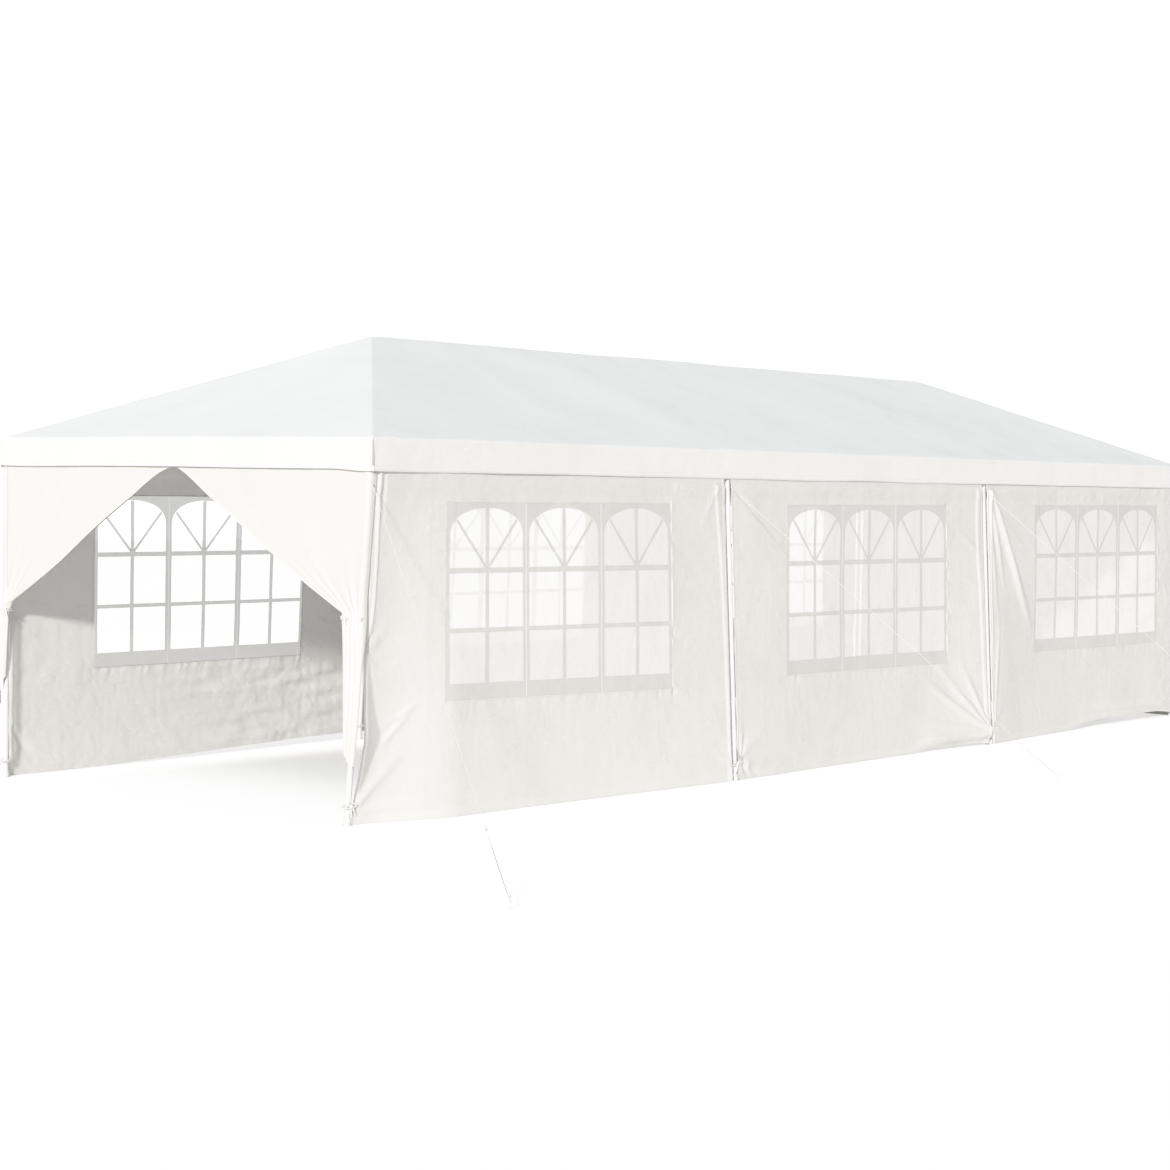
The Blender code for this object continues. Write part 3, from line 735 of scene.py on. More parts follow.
def side_wall_relief(side, bay, y, z):
    """Billows, creases and puckers of a side wall, in metres outward, fading out over the window."""
    seed = 100 + 40 * list(BAYS).index(bay) + (20 if side < 0 else 0)
    start, end = BAYS[bay]
    left, right, bottom, top = window_bounds(side, bay)
    held = smooth((y - start) / 0.25) * smooth((end - y) / 0.25) * smooth((WALL_TOP - z) / 0.2)
    held_low = held * smooth(z / 0.25 + 0.3)
    low, high = edges_of_wall(side, bay)
    billow = 0.006 * noise(y / 0.8 + 30, z / 0.6 + 30, seed) * held_low
    soft = 0.0016 * noise(y / 0.26 + 60, z / 0.22 + 30, seed + 1) * held
    fine = (0.0010 if side > 0 else 0.0028) * crumple(y + 30, z + 30, seed + 2, 0.16)
    fine += (0.0004 if side > 0 else 0.0010) * crumple(y + 50, z + 20, seed + 3, 0.06)
    for step, place in ((0.37, y - start + 0.13), (0.39, z + 0.05)):
        line = np.abs((place / step) % 1 - 0.5) * step
        fine += 0.0006 * np.clip(1 - line / 0.03, 0, 1)
    beside = band(z, bottom - 0.02, top, 0.03)
    across = band(y, left - 0.02, right + 0.02, 0.03)
    under, over = (0.0024, 0.0009) if side > 0 else (0.0042, 0.0055)
    wrinkles = (
        (y, bottom - z, 4, 0.045, 0.045, under, 0.25, across),
        (z, y - right, 5, 0.065, 0.030, 0.0075, 0.5, beside),
        (z, left - y, 6, 0.08, 0.04, 0.0012, -0.4, beside),
        (y, z - top, 7, 0.07, 0.07, over, 0.2, across),
        (y, WALL_TOP - 0.14 - z, 8, 0.08, 0.06, 0.0012, 0.3, 1),
        (z, y - low, 9, 0.08, 0.035, 0.0018, 0.3, 1),
        (z, high - y, 9, 0.08, 0.035, 0.0018, 0.3, 1),
    )
    for along, away, number, spacing, reach, height, slant, mask in wrinkles:
        fine += puckers(along, away, seed + number, spacing, reach, height, slant) * mask
    for facts in CREASES.get((SIDE_WORDS[side], bay), ()):
        fine += crease(y, z, *facts)
    fine += 0.0010 * crumple(y / 1.4 + 10, z, seed + 12, 0.07) * bell(z - 0.05, 0.08)
    if side > 0:
        fine += seen_folds(bay, y, z)
    else:
        streaks = noise(y / 0.30 + 5, z / 0.045 + 5, seed + 15) * band(z, 0.08, 0.5, 0.1)
        rough_low = crumple(y + 40, z + 10, seed + 13, 0.20) * band(z, 0.10, 0.52, 0.10)
        fine += 0.0075 * rough_low * smooth((y - start - 1.3) / 0.8)
        fine += 0.0130 * streaks * smooth((y - start - 0.9) / 1.2) + inner_folds(bay, y, z)
    inside = np.minimum(np.minimum(y - left, right - y), np.minimum(z - bottom, top - z))
    fine *= np.exp(-np.clip(inside, 0, None) / 0.02)
    film_wave = 0.0016 * noise(y / 0.30 + 80, z / 0.35 + 80, seed + 16) * smooth(inside / 0.1)
    curl = 0
    for away, at_corner in ((y - low, bay == "front"), (high - y, bay == "rear")):
        if at_corner:
            curl = -0.006 * bell(away, 0.014)
    if side > 0 and bay == "rear":
        curl += 0.004 * bell(y - low, 0.03)
    bulge = TOP_BULGE * beside_rail(z)
    return billow + soft + fine + film_wave + curl + bulge


def near_folds(y, z):
    """Beside the near corner leg: narrow upright strips above, and an edge flared out by its tie below."""
    ridge = through(NEAR_RIDGE, z)
    upper = smooth((z - 0.96) / 0.10)
    strips = -0.018 * (1 - smooth((y - ridge + 0.054) / 0.018))
    strips += 0.0055 * bell(y - ridge, 0.0065) - 0.004 * bell(y - ridge + 0.019, 0.006)
    strips -= 0.005 * bell(y - ridge - 0.030, 0.011) * smooth((z - 1.5) / 0.15)
    return strips * upper + NEAR_FLARE_SLOPE * np.clip(through(NEAR_FLARE, z) - y, 0, None)


def edge_fold(y, z, knots, rise, height):
    """A long fold beside a leg: it rises over a short way up to the line, then eases down past it."""
    place = y - through(knots, z)
    return height * (smooth(place / rise + 1) - 0.75 * smooth(place / 0.07))


def seen_folds(bay, y, z):
    """The folds that the photograph shows on the right side, besides the single creases."""
    if bay == "front":
        total = edge_fold(y, z, SECOND_LEG_FOLD, 0.016, 0.0060) + near_folds(y, z)
        total += star(y, z, (-4.440, 0.937), 301, 13, 0.075, 0.016) * (y < -4.0)
        return total + star(y, z, (-1.555, 0.10), 302, 11, 0.09, 0.008)
    if bay == "middle":
        tuck = smooth((z - 0.030) / 0.045) * np.exp(-np.clip(z - 0.075, 0, None) / 0.10)
        total = edge_fold(y, z, THIRD_LEG_FOLD, 0.022, 0.008) + 0.036 * tuck * band(y, 0.95, 1.36, 0.40)
        return total + star(y, z, (-1.45, 0.10), 303, 15, 0.11, 0.020) * band(y, -1.5, -1.0, 0.2)
    total = 0.007 * bell(y - 1.507, 0.009) - 0.005 * bell(y - 1.524, 0.007)
    total += 0.006 * bell(y - through(REAR_BAY_RIDGE, z), 0.009)
    total += star(y, z, (1.51, 0.10), 304, 11, 0.09, 0.015)
    total += 0.004 * crumple(y, z, 305, 0.16) * band(z, 1.66, 1.90, 0.05) * smooth((y - 2.0) / 0.4)
    return total + 0.004 * crumple(y, z, 306, 0.12) * smooth((y - 4.15) / 0.12)


def inner_folds(bay, y, z):
    """The folds that the photograph shows on the inside of the left wall, besides the single creases."""
    if bay != "front":
        return 0 * y
    total = star(y, z, (-4.43, 0.12), 311, 9, 0.10, 0.009) + star(y, z, (-1.53, 0.62), 312, 9, 0.18, 0.010)
    return total - 0.028 * (1 - smooth((y + 4.43) / 0.10)) * band(z, 0.12, 0.88, 0.10)


def wall_points(side, bay, y, z, out=0.0):
    """Places on a side wall for the flat places y, z of the cut cloth, lifted outward by out."""
    plain = BAYS[bay][0] + WALL_EDGE_GAP
    y_real = y + 0.0
    if bay == "front":
        y_real += (NEAR_EDGE_Y - plain) * (1 - smooth((y - plain) / EDGE_REACH))
    hem = hem_height(side, y_real) - WALL_BOTTOM
    z_real = z + hem * (1 - smooth(z / 0.5))
    offset = lean_of_wall(side, y_real, z_real) + side_wall_relief(side, bay, y_real, z_real)
    limit = TOP_LIMIT + 0.5 * (1 - smooth((z_real - 1.66) / 0.10))
    x = side * (WALL_X + np.minimum(offset, limit) + out)
    pull_y, pull_z = window_pull(side, bay, y, z)
    return np.stack([x, y_real + pull_y, z_real + pull_z], axis=-1)


def raised_band(place, run, near, far, way, height, shoulder, facing):
    """A raised band on a cloth whose places come from a function: along a row, or up a column."""
    shape = []
    for share, lift in ((0, 0.0002), (shoulder, 0.8), (0.5, 1.0), (1 - shoulder, 0.8), (1, 0.0002)):
        across = np.full_like(run, near + share * (far - near))
        along = (run, across) if way == "row" else (across, run)
        shape.append(place(*along, height * lift))
    return grid(shape, facing=facing)


def wall_and_window(side_word, bay):
    side = SIDES[side_word]
    left, right, bottom, top = window_bounds(side, bay)
    low, high = edges_of_wall(side, bay)
    reach = 0.14 if (side_word, bay) in (("right", "front"), ("right", "middle")) else 0.05
    columns = lines(low, high, 0.014, (low, left, right, high), 0.007, reach)
    rows = lines(WALL_BOTTOM, WALL_TOP, 0.014, (bottom, top), 0.009, 0.05)
    y, z = np.meshgrid(columns, rows)
    middle_y = (y[:-1, :-1] + y[1:, 1:]) / 2
    middle_z = (z[:-1, :-1] + z[1:, 1:]) / 2
    opening = (middle_y > left) & (middle_y < right) & (middle_z > bottom) & (middle_z < top)
    look = (side, 0, 0)
    where = f"{side_word}_{bay}"

    def bands(name, material, facts):
        """A piece of raised bands, each given by its run, near and far edge, way and height."""
        place = functools.partial(wall_points, side, bay)
        made = [
            raised_band(place, lines(*ends, 0.02), near, far, way, height, 0.22, look)
            for ends, near, far, way, height in facts
        ]
        return add_piece(f"{name}_{where}", made, material)

    cloth = grid(wall_points(side, bay, y, z), ~opening, look)
    wall = add_piece(f"wall_sheet_{where}", [cloth], WALL_CLOTH, 0)
    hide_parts(f"window_wall_{where}")
    full = (WALL_BOTTOM, WALL_TOP)
    hem = bands("wall_hem", WALL_HEM, (
        ((low, high), WALL_BOTTOM, HEM_TOP, "row", HEM_HEIGHT),
        (full, low, low + HEM_WIDTH, "column", HEM_HEIGHT),
        (full, high - HEM_WIDTH, high, "column", HEM_HEIGHT),
    ))
    rim = 0.013
    trim = bands("window_border", WALL_CLOTH, (
        ((left - rim, right + rim), bottom - rim, bottom + 0.002, "row", 0.0005),
        ((left - rim, right + rim), top - 0.003, top + rim, "row", 0.0012),
        ((bottom, top), left - rim, left + 0.002, "column", 0.0004),
        ((bottom, top), right - 0.002, right + rim, "column", 0.0004),
    ))

    film_y, film_z = np.meshgrid(lines(left, right, 0.03), lines(bottom, top, 0.03))
    clear = grid(wall_points(side, bay, film_y, film_z, -0.002), facing=look)
    film = add_piece(f"film_sheet_{where}", [clear], FILM)
    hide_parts(f"window_film_{where}")
    printed = add_piece(f"window_print_{where}", window_print(side, bay), PRINT)
    thin_strips = add_piece(f"window_seams_{where}", window_seams(side, bay), SEAM_LINE)


# The printed bars of a window: three arched units side by side
UNITS = 3
ARCH_SHARE = 0.4566
ARCH_RISE = 0.145
ARCH_TOP = 1.606
SILL_TOP = 0.688
FIRST_BAR = (1.264, 1.293)
SECOND_BAR = (0.954, 0.978)
CENTRE_BAR = 0.030
DIAGONAL_BAR = 0.018
DIAGONAL_START = 0.012
DIAGONAL_RUN = (0.234, 0.258)
UNIT_GAP = 0.008
PRINT_LIFT = -0.0008


def printed_strip(side, bay, edge_a, edge_b, lift):
    """A strip of print between two lines of flat places, each a list of (y, z)."""
    shape = []
    for line in (edge_a, edge_b):
        y, z = (np.array(column, float) for column in zip(*line))
        shape.append(wall_points(side, bay, y, z, lift))
    return grid(shape, facing=(side, 0, 0))


def straight_strip(side, bay, start, end, width, lift, pieces=24):
    """A straight printed bar between two flat places."""
    a, b = np.array(start, float), np.array(end, float)
    run = (b - a) / np.linalg.norm(b - a)
    across = np.array([-run[1], run[0]]) * width / 2
    shares = np.linspace(0, 1, pieces + 1)
    middle = a + np.outer(shares, b - a)
    return printed_strip(side, bay, middle - across, middle + across, lift)


def window_print(side, bay):
    left, right, bottom, top = window_bounds(side, bay)
    unit = (right - left) / UNITS
    arch_half = ARCH_SHARE * unit
    spring = ARCH_TOP - ARCH_RISE
    parts = []

    def bar(start, end, width, pieces=24, lift=PRINT_LIFT):
        parts.append(straight_strip(side, bay, start, end, width, lift, pieces))

    for number in range(UNITS):
        low = left + number * unit + (UNIT_GAP / 2 if number else 0.001)
        high = left + (number + 1) * unit - (UNIT_GAP / 2 if number < UNITS - 1 else 0.001)
        centre = left + (number + 0.5) * unit
        turn = np.linspace(math.pi, 0, 33)
        arch_y = centre + arch_half * np.cos(turn)
        arch_z = spring + ARCH_RISE * np.sin(turn) ** 0.85
        over = [(y, top - 0.001) for y in arch_y]
        parts.append(printed_strip(side, bay, list(zip(arch_y, arch_z)), over, PRINT_LIFT))
        for a, b in ((low, centre - arch_half), (centre + arch_half, high)):
            middle = (a + b) / 2
            bar((middle, bottom + 0.001), (middle, top - 0.001), b - a, 40)
        for z_low, z_high in (FIRST_BAR, SECOND_BAR, (bottom + 0.001, SILL_TOP)):
            z = (z_low + z_high) / 2
            bar((centre - arch_half, z), (centre + arch_half, z), z_high - z_low)
        stops = (SILL_TOP, *SECOND_BAR, *FIRST_BAR, ARCH_TOP - 0.002)
        for z_low, z_high in zip(stops[::2], stops[1::2]):
            bar((centre, z_low), (centre, z_high), CENTRE_BAR, 12)
        shares = np.linspace(0.5, 1.1, 121)
        away = DIAGONAL_START + DIAGONAL_RUN[0] * shares
        arch = spring + ARCH_RISE * np.sqrt(np.clip(1 - (away / arch_half) ** 2, 0, 1)) ** 0.85
        reached = away[np.argmax(FIRST_BAR[1] + DIAGONAL_RUN[1] * shares > arch - 0.006)]
        rise = DIAGONAL_RUN[1] * (reached - DIAGONAL_START) / DIAGONAL_RUN[0]
        for way in (-1, 1):
            foot = (centre + way * DIAGONAL_START, FIRST_BAR[1] + 0.004)
            head = (centre + way * reached, FIRST_BAR[1] + rise)
            bar(foot, head, DIAGONAL_BAR, 14, PRINT_LIFT + 0.0002)
    return parts


def window_seams(side, bay):
    """The pale welded lines between the three units."""
    left, right, bottom, top = window_bounds(side, bay)
    unit = (right - left) / UNITS
    parts = []
    for number in range(1, UNITS):
        y = left + number * unit
        parts.append(straight_strip(side, bay, (y, bottom), (y, top), UNIT_GAP, PRINT_LIFT + 0.0006, 40))
    return parts


# Door halves, tied back to the front legs
DOOR_Y = -4.4895
DOOR_SPLIT_HEIGHT = 1.804
DOOR_TOP_BULGE = 0.003

# The outer line lists height and distance from the tent's middle, and the edge lists distance from its top
# corner and height. The bunch lists height, middle and half width, up to the tie
DOOR_HALVES = {
    "right": {
        "outer": (
            (0.69, 1.412), (0.95, 1.427), (1.15, 1.436), (1.40, 1.452), (1.65, 1.4725), (1.79, 1.4840),
            (1.86, 1.488), (1.9545, 1.488),
        ),
        "edge": (
            (0.0, 1.804), (0.035, 1.796), (0.075, 1.779), (0.294, 1.644), (0.606, 1.461), (0.984, 1.240),
            (1.300, 1.075),
        ),
        "bunch": (
            (0.32, 1.352, 0.034), (0.42, 1.358, 0.042), (0.55, 1.366, 0.049), (0.75, 1.372, 0.058),
            (0.95, 1.373, 0.066), (1.062, 1.366, 0.068),
        ),
        "lengths": (0.755, 0.66),
        "bow": (0.024, 0.030),
        "seed": 401,
    },
    "left": {
        "outer": ((0.35, 1.492), (1.05, 1.492), (1.79, 1.490), (1.9545, 1.487)),
        "edge": (
            (0.0, 1.804), (0.035, 1.797), (0.075, 1.784), (0.348, 1.635), (0.653, 1.459), (0.958, 1.262),
            (1.392, 1.020),
        ),
        "bunch": (
            (0.40, 1.480, 0.020), (0.57, 1.474, 0.028), (0.72, 1.466, 0.034), (0.88, 1.459, 0.038),
            (0.985, 1.455, 0.040),
        ),
        "lengths": (0.56, 0.40),
        "bow": (0.030, 0.006),
        "seed": 431,
    },
}
PLEATS = 6
PLEAT_DEPTH = 0.0044
BUNCH_DEPTH = 0.018
LAYER_GAP = 0.005
FOLDED_DEPTH = 0.31
WRAP_CELLS = 14
FRONT_CELLS = 130
WRAP_RADIUS = 0.0235
WRAP_RUN = 0.016
SEAM_X = (1.431, 1.434, 1.437)
SEAM_RANGE = (1.10, 1.92)
REAR_HALF = 1.44


def door_half(word):
    """A door half as one sheet: a strip under the eave, a fan down to the tie, and the bunch below it."""
    facts = DOOR_HALVES[word]
    sign, seed = SIDES[word], facts["seed"]
    tie_z, tie_x, tie_half = facts["bunch"][-1]
    centre_line = [(z, x) for z, x, half in facts["bunch"]]
    half_line = [(z, half) for z, x, half in facts["bunch"]]
    wrapped = np.linspace(-1, 0, WRAP_CELLS + 1)[:-1]
    u = np.concatenate([wrapped, np.linspace(0, 1, FRONT_CELLS + 1), np.linspace(1, 2, 40)[1:]])
    front = np.clip(u, 0, 1)
    behind = np.clip(u - 1, 0, 1)
    turn = np.clip(-u / 0.6, 0, 1) * math.pi / 2
    wrap_x = WRAP_RADIUS * (np.sin(turn) - 1)
    wrap_y = WRAP_RADIUS * (1 - np.cos(turn)) + WRAP_RUN * np.clip((-u - 0.6) / 0.4, 0, 1)
    rows = []
    for height in lines(0, WALL_TOP - DOOR_SPLIT_HEIGHT, 0.02):
        z = WALL_TOP - height
        x = (through(facts["outer"], z) + wrap_x) * (1 - front)
        bulge = DOOR_TOP_BULGE * beside_rail(z)
        rows.append((x, DOOR_Y - bulge + layer(behind) + wrap_y, z + 0 * x))
    reach = facts["edge"][-1][0]
    edge_x = [(x / reach, x) for x, z in facts["edge"]]
    edge_z = [(x / reach, z) for x, z in facts["edge"]]
    run = np.array(facts["edge"][-1]) - np.array(facts["edge"][0])
    run = run / np.linalg.norm(run)
    for v in lines(0, 1, 0.012, (1,), 0.006, 0.2)[1:]:
        outer_z = DOOR_SPLIT_HEIGHT + (tie_z - DOOR_SPLIT_HEIGHT) * v
        outer_x = through(facts["outer"], outer_z)
        outer_x += (tie_x + tie_half - outer_x) * smooth((v - 0.7) / 0.3)
        outer_x = outer_x + wrap_x
        inner_x = through(edge_x, v)
        inner_z = through(edge_z, v)
        x = outer_x + (inner_x - outer_x) * front
        z = outer_z + (inner_z - outer_z) * front
        gathered = smooth((v - 0.35) / 0.65) ** 2
        fold = PLEAT_DEPTH * gathered * pleat_wave(front, seed)
        fold += 0.0030 * noise(front * 5 + 3, 0 * front + v * 3, seed) * smooth(v / 0.3)
        fold += 0.0006 * crumple(x, z, seed + 2, 0.2) * smooth(v / 0.1)
        bulge = DOOR_TOP_BULGE * beside_rail(z)
        back = FOLDED_DEPTH * math.sin(math.pi * v) * (1 - np.abs(2 * behind - 1))
        x = x - run[1] * back
        z = z + run[0] * back
        y = DOOR_Y - bulge - 0.004 * smooth(v / 0.2) - fold * (1 - smooth(behind * 20)) + layer(behind)
        rows.append((x, y + wrap_y, z))
    long, short = facts["lengths"]
    for w in lines(0, 1, 0.02)[1:]:
        z = tie_z - w * (long + (short - long) * front**1.3)
        across = 1 - 2 * front
        x = through(centre_line, z) + through(half_line, z) * across
        swell = smooth(w / 0.10)
        depth = BUNCH_DEPTH + 0.006 * math.sin(math.pi * w)
        round_off = depth * np.sqrt(np.clip(1 - across**2 * 0.9, 0, 1))
        fold = PLEAT_DEPTH * pleat_wave(front + 0.02 * math.sin(w * 5), seed) * (1 - 0.35 * swell)
        y = DOOR_Y - 0.004 - fold - swell * round_off + 0.006 * behind
        shrink = 1 - 0.6 * smooth(w / 0.4)
        rows.append((x + wrap_x * (1 - front) * shrink, y + wrap_y * shrink, z))
    shape = np.array([np.stack([sign * x, y + 0 * x, z + 0 * x], axis=-1) for x, y, z in rows])
    sheet = add_piece(f"door_sheet_{word}", [grid(shape, facing=(0, -1, 0))], DOOR_CLOTH, 0)
    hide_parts(f"front_door_{word}")
    trims = door_trims(word, facts, shape)


def layer(behind):
    """How far back the folded part of the door lies behind its front."""
    return LAYER_GAP * smooth(behind * 12) + LAYER_GAP * smooth((behind - 0.5) * 12)


def pleat_wave(share, seed):
    """Uneven rounded pleats across a door half, between about -1 and 1."""
    wander = 0.35 * noise(share * 4 + 7, 0 * share, seed + 9)
    height = 0.75 + 0.25 * noise(share * 3 + 2, 0 * share, seed + 8)
    return np.sin(2 * math.pi * (share * PLEATS + wander)) * height


def knot(centre, size, seed):
    """A small tied bow: a knot with two loops and two tails of ribbon."""
    parts = []
    for way in (-1, 1):
        loop = [
            (way * (0.45 + 0.45 * math.cos(t)), -0.35 - 0.12 * math.sin(2 * t), 0.3 * math.sin(t) + 0.1)
            for t in np.linspace(0, 2 * math.pi, 21)[:-1]
        ]
        parts.append(tube(centre + size * np.array(loop), 0.11 * size, 8, True, 0.5))
        tail = [
            (way * (0.15 + 0.5 * t), -0.3 - 0.15 * math.sin(3 * t), -1.25 * t + 0.1 * math.sin(5 * t + seed))
            for t in np.linspace(0, 1, 12)
        ]
        parts.append(tube(centre + size * np.array(tail), 0.13 * size, 8, False, 0.35))
    lump = ring(centre - 0.38 * size * Y_WAY, 0.16 * size, X_WAY, UP, 20)
    parts.append(tube(lump, 0.13 * size, 8, True))
    return parts


def door_trims(word, facts, shape):
    """The hem along the folded edge, the tape that goes round behind the leg, and its bow."""
    sign = SIDES[word]
    tie_z, tie_x, half = facts["bunch"][-1]
    rows = shape[:, 0, 2] >= tie_z - 0.005
    folded_edge = WRAP_CELLS + FRONT_CELLS + 1
    edge = shape[rows, folded_edge - 5 : folded_edge].copy()
    edge[:, :, 1] -= (0.0, 0.0010, 0.0012, 0.0010, 0.0002)
    hem = add_piece(f"door_hem_{word}", [grid(edge, facing=(0, -1, 0))], DOOR_HEM)
    wraps = []
    for drop in (0.0, 0.010):
        loop = [
            (sign * (tie_x - half * math.cos(t)), DOOR_Y - 0.006 + 0.052 * math.sin(t), tie_z - 0.008 - drop)
            for t in np.linspace(-0.05, 1.05, 30) * math.pi
        ]
        wraps.append(tube(loop, 0.0035, 8))
    strap = add_piece(f"door_strap_{word}", wraps, RIBBON)
    size, inward = facts["bow"]
    place = (sign * (tie_x - half + inward), DOOR_Y - 0.016, tie_z - 0.010)
    bow = add_piece(f"door_bow_{word}", knot(place, size, 1), RIBBON)
    trims = [hem, strap, bow]
    if word == "left":
        stitches = upright_seam(sign, shape[:, WRAP_CELLS:folded_edge])
        trims.append(add_piece("door_seam_left", [stitches], DOOR_SEAM))
    return trims


def upright_seam(sign, shape):
    """A stitched line down the door near its leg, laid on the front of the cloth."""
    rows = []
    for x_line in SEAM_X:
        line = []
        for row in shape[::-1]:
            across = sign * row[::-1, 0]
            z = np.interp(x_line, across, row[::-1, 2])
            if across[-1] > x_line and SEAM_RANGE[0] < z < SEAM_RANGE[1]:
                line.append((sign * x_line, np.interp(x_line, across, row[::-1, 1]) - 0.0008, z))
        rows.append(line)
    count = min(len(line) for line in rows)
    return grid(np.array([line[:count] for line in rows]), facing=(0, -1, 0))


def rear_place(x, z, out):
    """Places on the closed rear door for flat places x, z, lifted outward by out."""
    held = smooth((REAR_HALF - np.abs(x)) / 0.25) * smooth((WALL_TOP - z) / 0.25)
    y = LEG_END_Y + 0.0173 + 0.008 * noise(x / 0.7 + 30, z / 0.6 + 30, 501) * held * smooth(z / 0.2)
    y += 0.003 * noise(x / 0.24 + 30, z / 0.2 + 30, 502) * held
    y += 0.0018 * crumple(x + 30, z + 30, 503, 0.14)
    y += puckers(z, np.abs(x) - 0.012, 504, 0.05, 0.05, 0.0035, 0.4)
    y += puckers(x, WALL_TOP - 0.16 - z, 505, 0.06, 0.07, 0.0025)
    for side in (-1, 1):
        y += star(x, z, (side * REAR_HALF, 0.12), 506, 9, 0.1, 0.008)
        y += star(x, z, (side * REAR_HALF, 1.0), 507, 9, 0.08, 0.006)
    y -= 0.006 * bell(REAR_HALF - np.abs(x), 0.016)
    return np.stack([x, y + out, z], axis=-1)


def rear_door():
    """The closed door at the far end, with its zip up the middle."""
    columns = lines(-REAR_HALF, REAR_HALF, 0.016, (0,), 0.008, 0.06)
    x, z = np.meshgrid(columns, lines(WALL_BOTTOM, WALL_TOP, 0.016))
    cloth = grid(rear_place(x, z, 0), facing=Y_WAY)
    door = add_piece("rear_door_sheet", [cloth], DOOR_CLOTH, 0)
    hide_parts("rear_door")
    run, up = lines(-REAR_HALF, REAR_HALF, 0.02), lines(WALL_BOTTOM, WALL_TOP, 0.02)
    bands = [raised_band(rear_place, run, WALL_BOTTOM, HEM_TOP, "row", HEM_HEIGHT, 0.04, Y_WAY)]
    inner = REAR_HALF - HEM_WIDTH
    for low, high in ((-REAR_HALF, -inner), (inner, REAR_HALF), (-0.042, -0.006), (0.006, 0.042)):
        bands.append(raised_band(rear_place, up, low, high, "column", 0.002, 0.04, Y_WAY))
    hem = add_piece("rear_door_hem", bands, DOOR_HEM)
    zip_rows = lines(0.02, 1.80, 0.004)
    teeth = 0.0022 + 0.0012 * np.sign(np.sin(np.arange(len(zip_rows)) * math.pi + 0.5))
    profile = ((-0.005, 0.0), (-0.004, 1.0), (0.004, 1.0), (0.005, 0.0))
    shape = [rear_place(np.full_like(zip_rows, x), zip_rows, teeth * lift) for x, lift in profile]
    zipper = add_piece("rear_door_zip", [grid(shape, facing=Y_WAY)], RIBBON)


# Guy ropes, pegs and foot ties


def leg_centre(side, y, height):
    x = side * LEG_X
    below_top = 1 - height / LEG_TOP
    if side > 0 and y == -LEG_END_Y:
        x -= NEAR_LEG_LEAN * below_top
    if abs(y) == LEG_MID_Y:
        x += side * MIDDLE_LEG_SPLAY * below_top
    return np.array([x, y, height])


def guy_rope(word, place):
    side, y = SIDES[word], LEG_ROWS[place]
    name = f"{word}_{place}"
    peg = np.array([side * SIDE_PEG_X, y + SIDE_PEG_RUN, 0.0])
    if abs(y) == LEG_END_Y:
        peg = np.array([side * CORNER_PEG[0], math.copysign(CORNER_PEG[1], y), 0.0])
    top = leg_centre(side, y, ROPE_TOP_HEIGHT)
    away = (peg - top) * (1, 1, 0)
    away /= np.linalg.norm(away)
    loop_radius = LEG_RADIUS + 0.0006 + ROPE_RADIUS
    start = top + loop_radius * away
    hook_at = peg + 0.035 * UP + 0.004 * away
    run = hook_at - start
    ahead = run / np.linalg.norm(run)
    across = np.cross(ahead, UP)
    across /= np.linalg.norm(across)
    upward = np.cross(across, ahead)
    slide = hook_at - ahead * SLIDE_RUN
    parts = [
        tube(ring(top, loop_radius, X_WAY, Y_WAY + 0.02 * UP), ROPE_RADIUS, 8, True),
        tube([start + run * t for t in np.linspace(0, 1, 60)], ROPE_RADIUS, 8),
    ]
    for middle, radius, gap in ((start + ahead * 0.022, 0.0028, 0.004), (slide, 0.0030, 0.005)):
        for shift in (-gap, 0.0, gap):
            parts.append(tube(ring(middle + ahead * shift, radius, across, upward), ROPE_RADIUS, 6, True))
    second = [
        slide + (hook_at - slide) * t - upward * 0.006 * math.sin(math.pi * t) for t in np.linspace(0, 1, 20)
    ]
    parts.append(tube(second, ROPE_RADIUS, 6))
    rope = add_piece(f"rope_{name}", parts, ROPE)
    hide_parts(f"guy_rope_{name}")
    bend = peg + PEG_HEIGHT * UP + PEG_BEND * away
    hook = [peg + z * UP for z in np.linspace(0.002, PEG_HEIGHT, 6)]
    hook += [bend + PEG_BEND * (math.sin(t) * UP - math.cos(t) * away) for t in np.linspace(0.2, math.pi, 10)]
    hook += [bend + PEG_BEND * away - z * UP for z in (0.006, 0.013)]
    add_piece(f"peg_{name}", [tube(hook, 0.003, 10)], PEG_STEEL)


def foot_tie(word, place):
    """The tape that holds the wall edges to a leg, with its bow."""
    side, y = SIDES[word], LEG_ROWS[place]
    centre = leg_centre(side, y, FOOT_TIE_HEIGHT)
    parts = []
    for drop in (0.0, 0.009):
        parts.append(tube(ring(centre - drop * UP, 1, 0.0250 * X_WAY, 0.034 * Y_WAY), 0.0032, 6, True))
    for points, quads in knot(np.zeros(3), 0.036, 2.0 + y):
        x, out, z = points.T
        parts.append((centre + np.stack([side * (0.014 - out), side * x, z], axis=-1), quads))
    add_piece(f"leg_tie_{word}_{place}_{FOOT_TIE_HEIGHT * 100:03.0f}", parts, RIBBON)


def frame_finish():
    """White paint on every tube and fitting that the frame keeps."""
    hidden = ("roof_cover", "window_", "front_door", "rear_door", "guy_rope")
    for name, node in frame["nodes"].items():
        if name.startswith(hidden):
            continue
        for slot in node.material_slots:
            slot.material = STEEL


# Floor, light and camera


def world():
    made = bpy.data.worlds.new("studio")
    bpy.context.scene.world = made
    s = Shader(made, "ShaderNodeOutputWorld")
    seen, lit = (
        s.node("ShaderNodeBackground", {"Color": colour, "Strength": strength}).outputs[0]
        for colour, strength in (((1, 1, 1, 1), BACKDROP_STRENGTH), ((0.985, 0.992, 1.0, 1), SKY_STRENGTH))
    )
    s.done(s.mix(s.node("ShaderNodeLightPath").outputs["Is Camera Ray"], lit, seen))


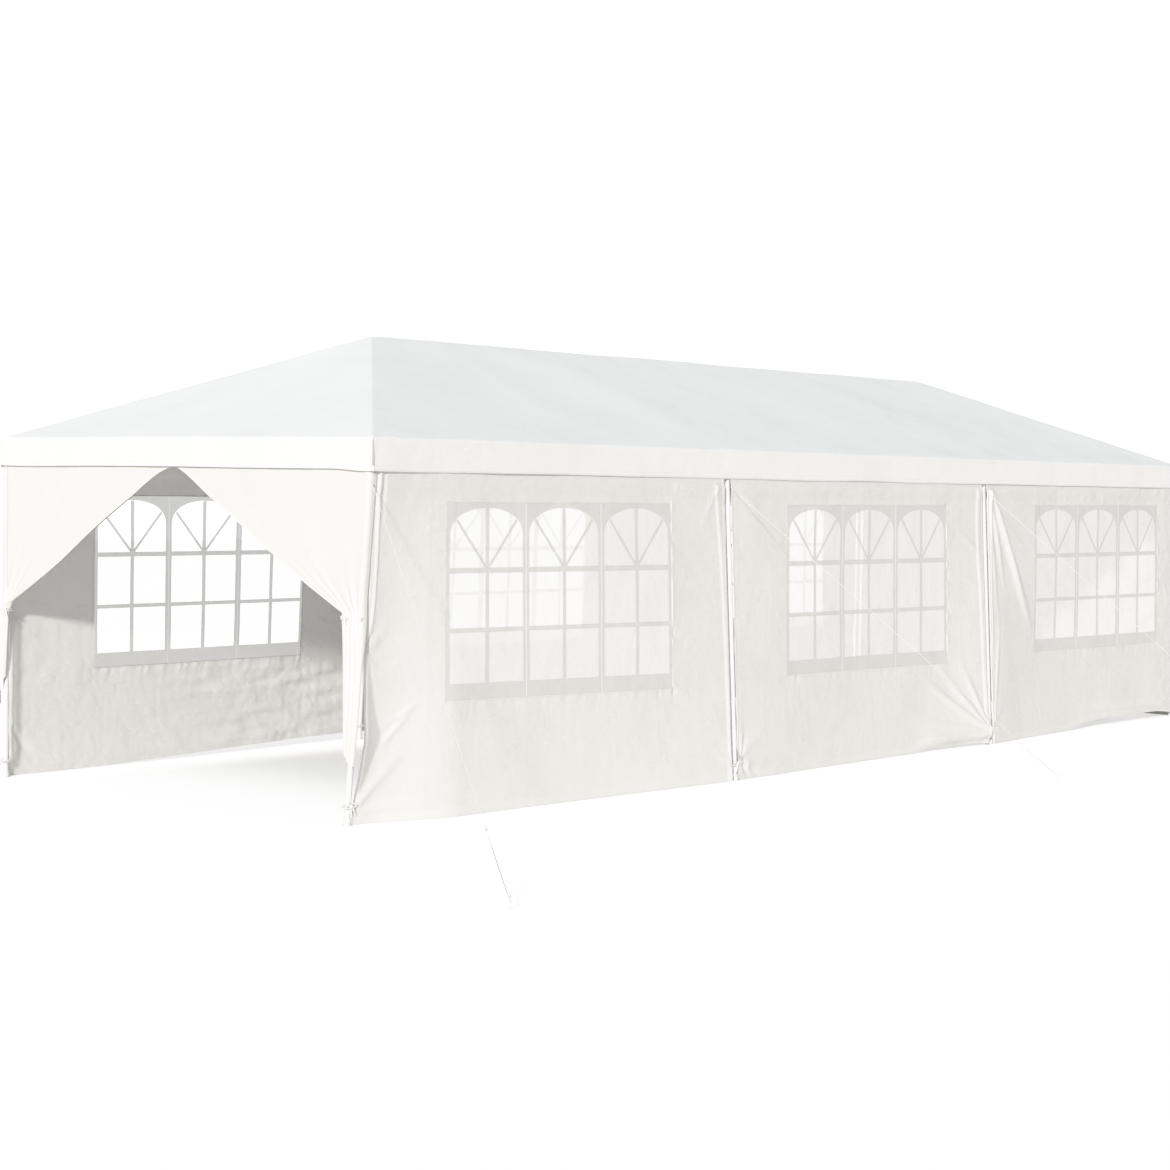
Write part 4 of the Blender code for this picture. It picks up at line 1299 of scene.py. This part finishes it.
def floor():
    """Pale floor with a little glow of its own for the white surroundings, less of it under the roof as
    painted shade.
    """
    bpy.ops.mesh.primitive_plane_add(size=90, location=(0, 0, -0.0005))
    made = bpy.context.object
    made.name = "floor"
    s = shader("floor_look")
    faded = []
    for word, half, fade in (("X", HALF_WIDTH, 0.5), ("Y", HALF_LENGTH, 1.9)):
        away = s.value("ABSOLUTE", s.node("ShaderNodeSeparateXYZ", {0: s.place}).outputs[word])
        inputs = {"Value": away, "From Min": half, "From Max": half - fade}
        faded.append(s.node("ShaderNodeMapRange", inputs, interpolation_type="SMOOTHSTEP").outputs[0])
    glow_with_painted_shade = s.value("MULTIPLY_ADD", s.value("MULTIPLY", *faded), INSIDE_GLOW - FLOOR_GLOW, FLOOR_GLOW)
    strength = s.value("MULTIPLY", s.node("ShaderNodeLightPath").outputs["Is Camera Ray"], glow_with_painted_shade)
    face = s.node("ShaderNodeBsdfDiffuse", {"Color": (0.96, 0.96, 0.963, 1)}).outputs[0]
    glow = s.node("ShaderNodeEmission", {"Color": (1, 1, 1, 1), "Strength": strength}).outputs[0]
    made.data.materials.append(s.done(s.node("ShaderNodeAddShader", {0: face, 1: glow}).outputs[0]))


def sun():
    data = bpy.data.lights.new("sun", "SUN")
    data.energy = SUN_STRENGTH
    data.angle = SUN_ANGLE
    data.color = (1.0, 0.985, 0.955)
    new_object("sun", data).rotation_euler = Vector(SUN_DIRECTION).to_track_quat("Z", "Y").to_euler()


def camera():
    sin_a, cos_a = math.sin(CAMERA_AZIMUTH), math.cos(CAMERA_AZIMUTH)
    sin_e, cos_e = math.sin(CAMERA_PITCH), math.cos(CAMERA_PITCH)
    ahead = Vector((cos_e * sin_a, cos_e * cos_a, sin_e))
    right = Vector((cos_a, -sin_a, 0))
    up = right.cross(ahead)
    turned_right = right * math.cos(CAMERA_ROLL) + up * math.sin(CAMERA_ROLL)
    turned_up = up * math.cos(CAMERA_ROLL) - right * math.sin(CAMERA_ROLL)
    data = bpy.data.cameras.new("camera")
    data.sensor_width = 36
    data.lens = FOCAL_PIXELS / IMAGE_SIZE * data.sensor_width
    data.clip_end = 200
    made = new_object("camera", data)
    turn = Matrix((turned_right, turned_up, -ahead)).transposed().to_4x4()
    made.matrix_world = Matrix.Translation(CAMERA_PLACE) @ turn
    bpy.context.scene.camera = made


def tones():
    """A soft shoulder for the brightest tones, as in the photograph, whose sunlit end isn't burnt out."""
    view = bpy.context.scene.view_settings
    view.view_transform = "Standard"
    view.look = "None"
    view.use_curve_mapping = True
    mapping = view.curve_mapping
    mapping.clip_max_x = TONE_CURVE[-1][0]
    curve = mapping.curves[3]
    while len(curve.points) < len(TONE_CURVE):
        curve.points.new(0.5, 0.5)
    for point, place in zip(curve.points, TONE_CURVE):
        point.location = place
    mapping.update()


roof_cover()
for side_word in SIDES:
    for bay in BAYS:
        wall_and_window(side_word, bay)
for side_word in SIDES:
    door_half(side_word)
rear_door()
for side_word in SIDES:
    for place in LEG_ROWS:
        guy_rope(side_word, place)
        foot_tie(side_word, place)
frame_finish()
world()
floor()
sun()
camera()
tones()
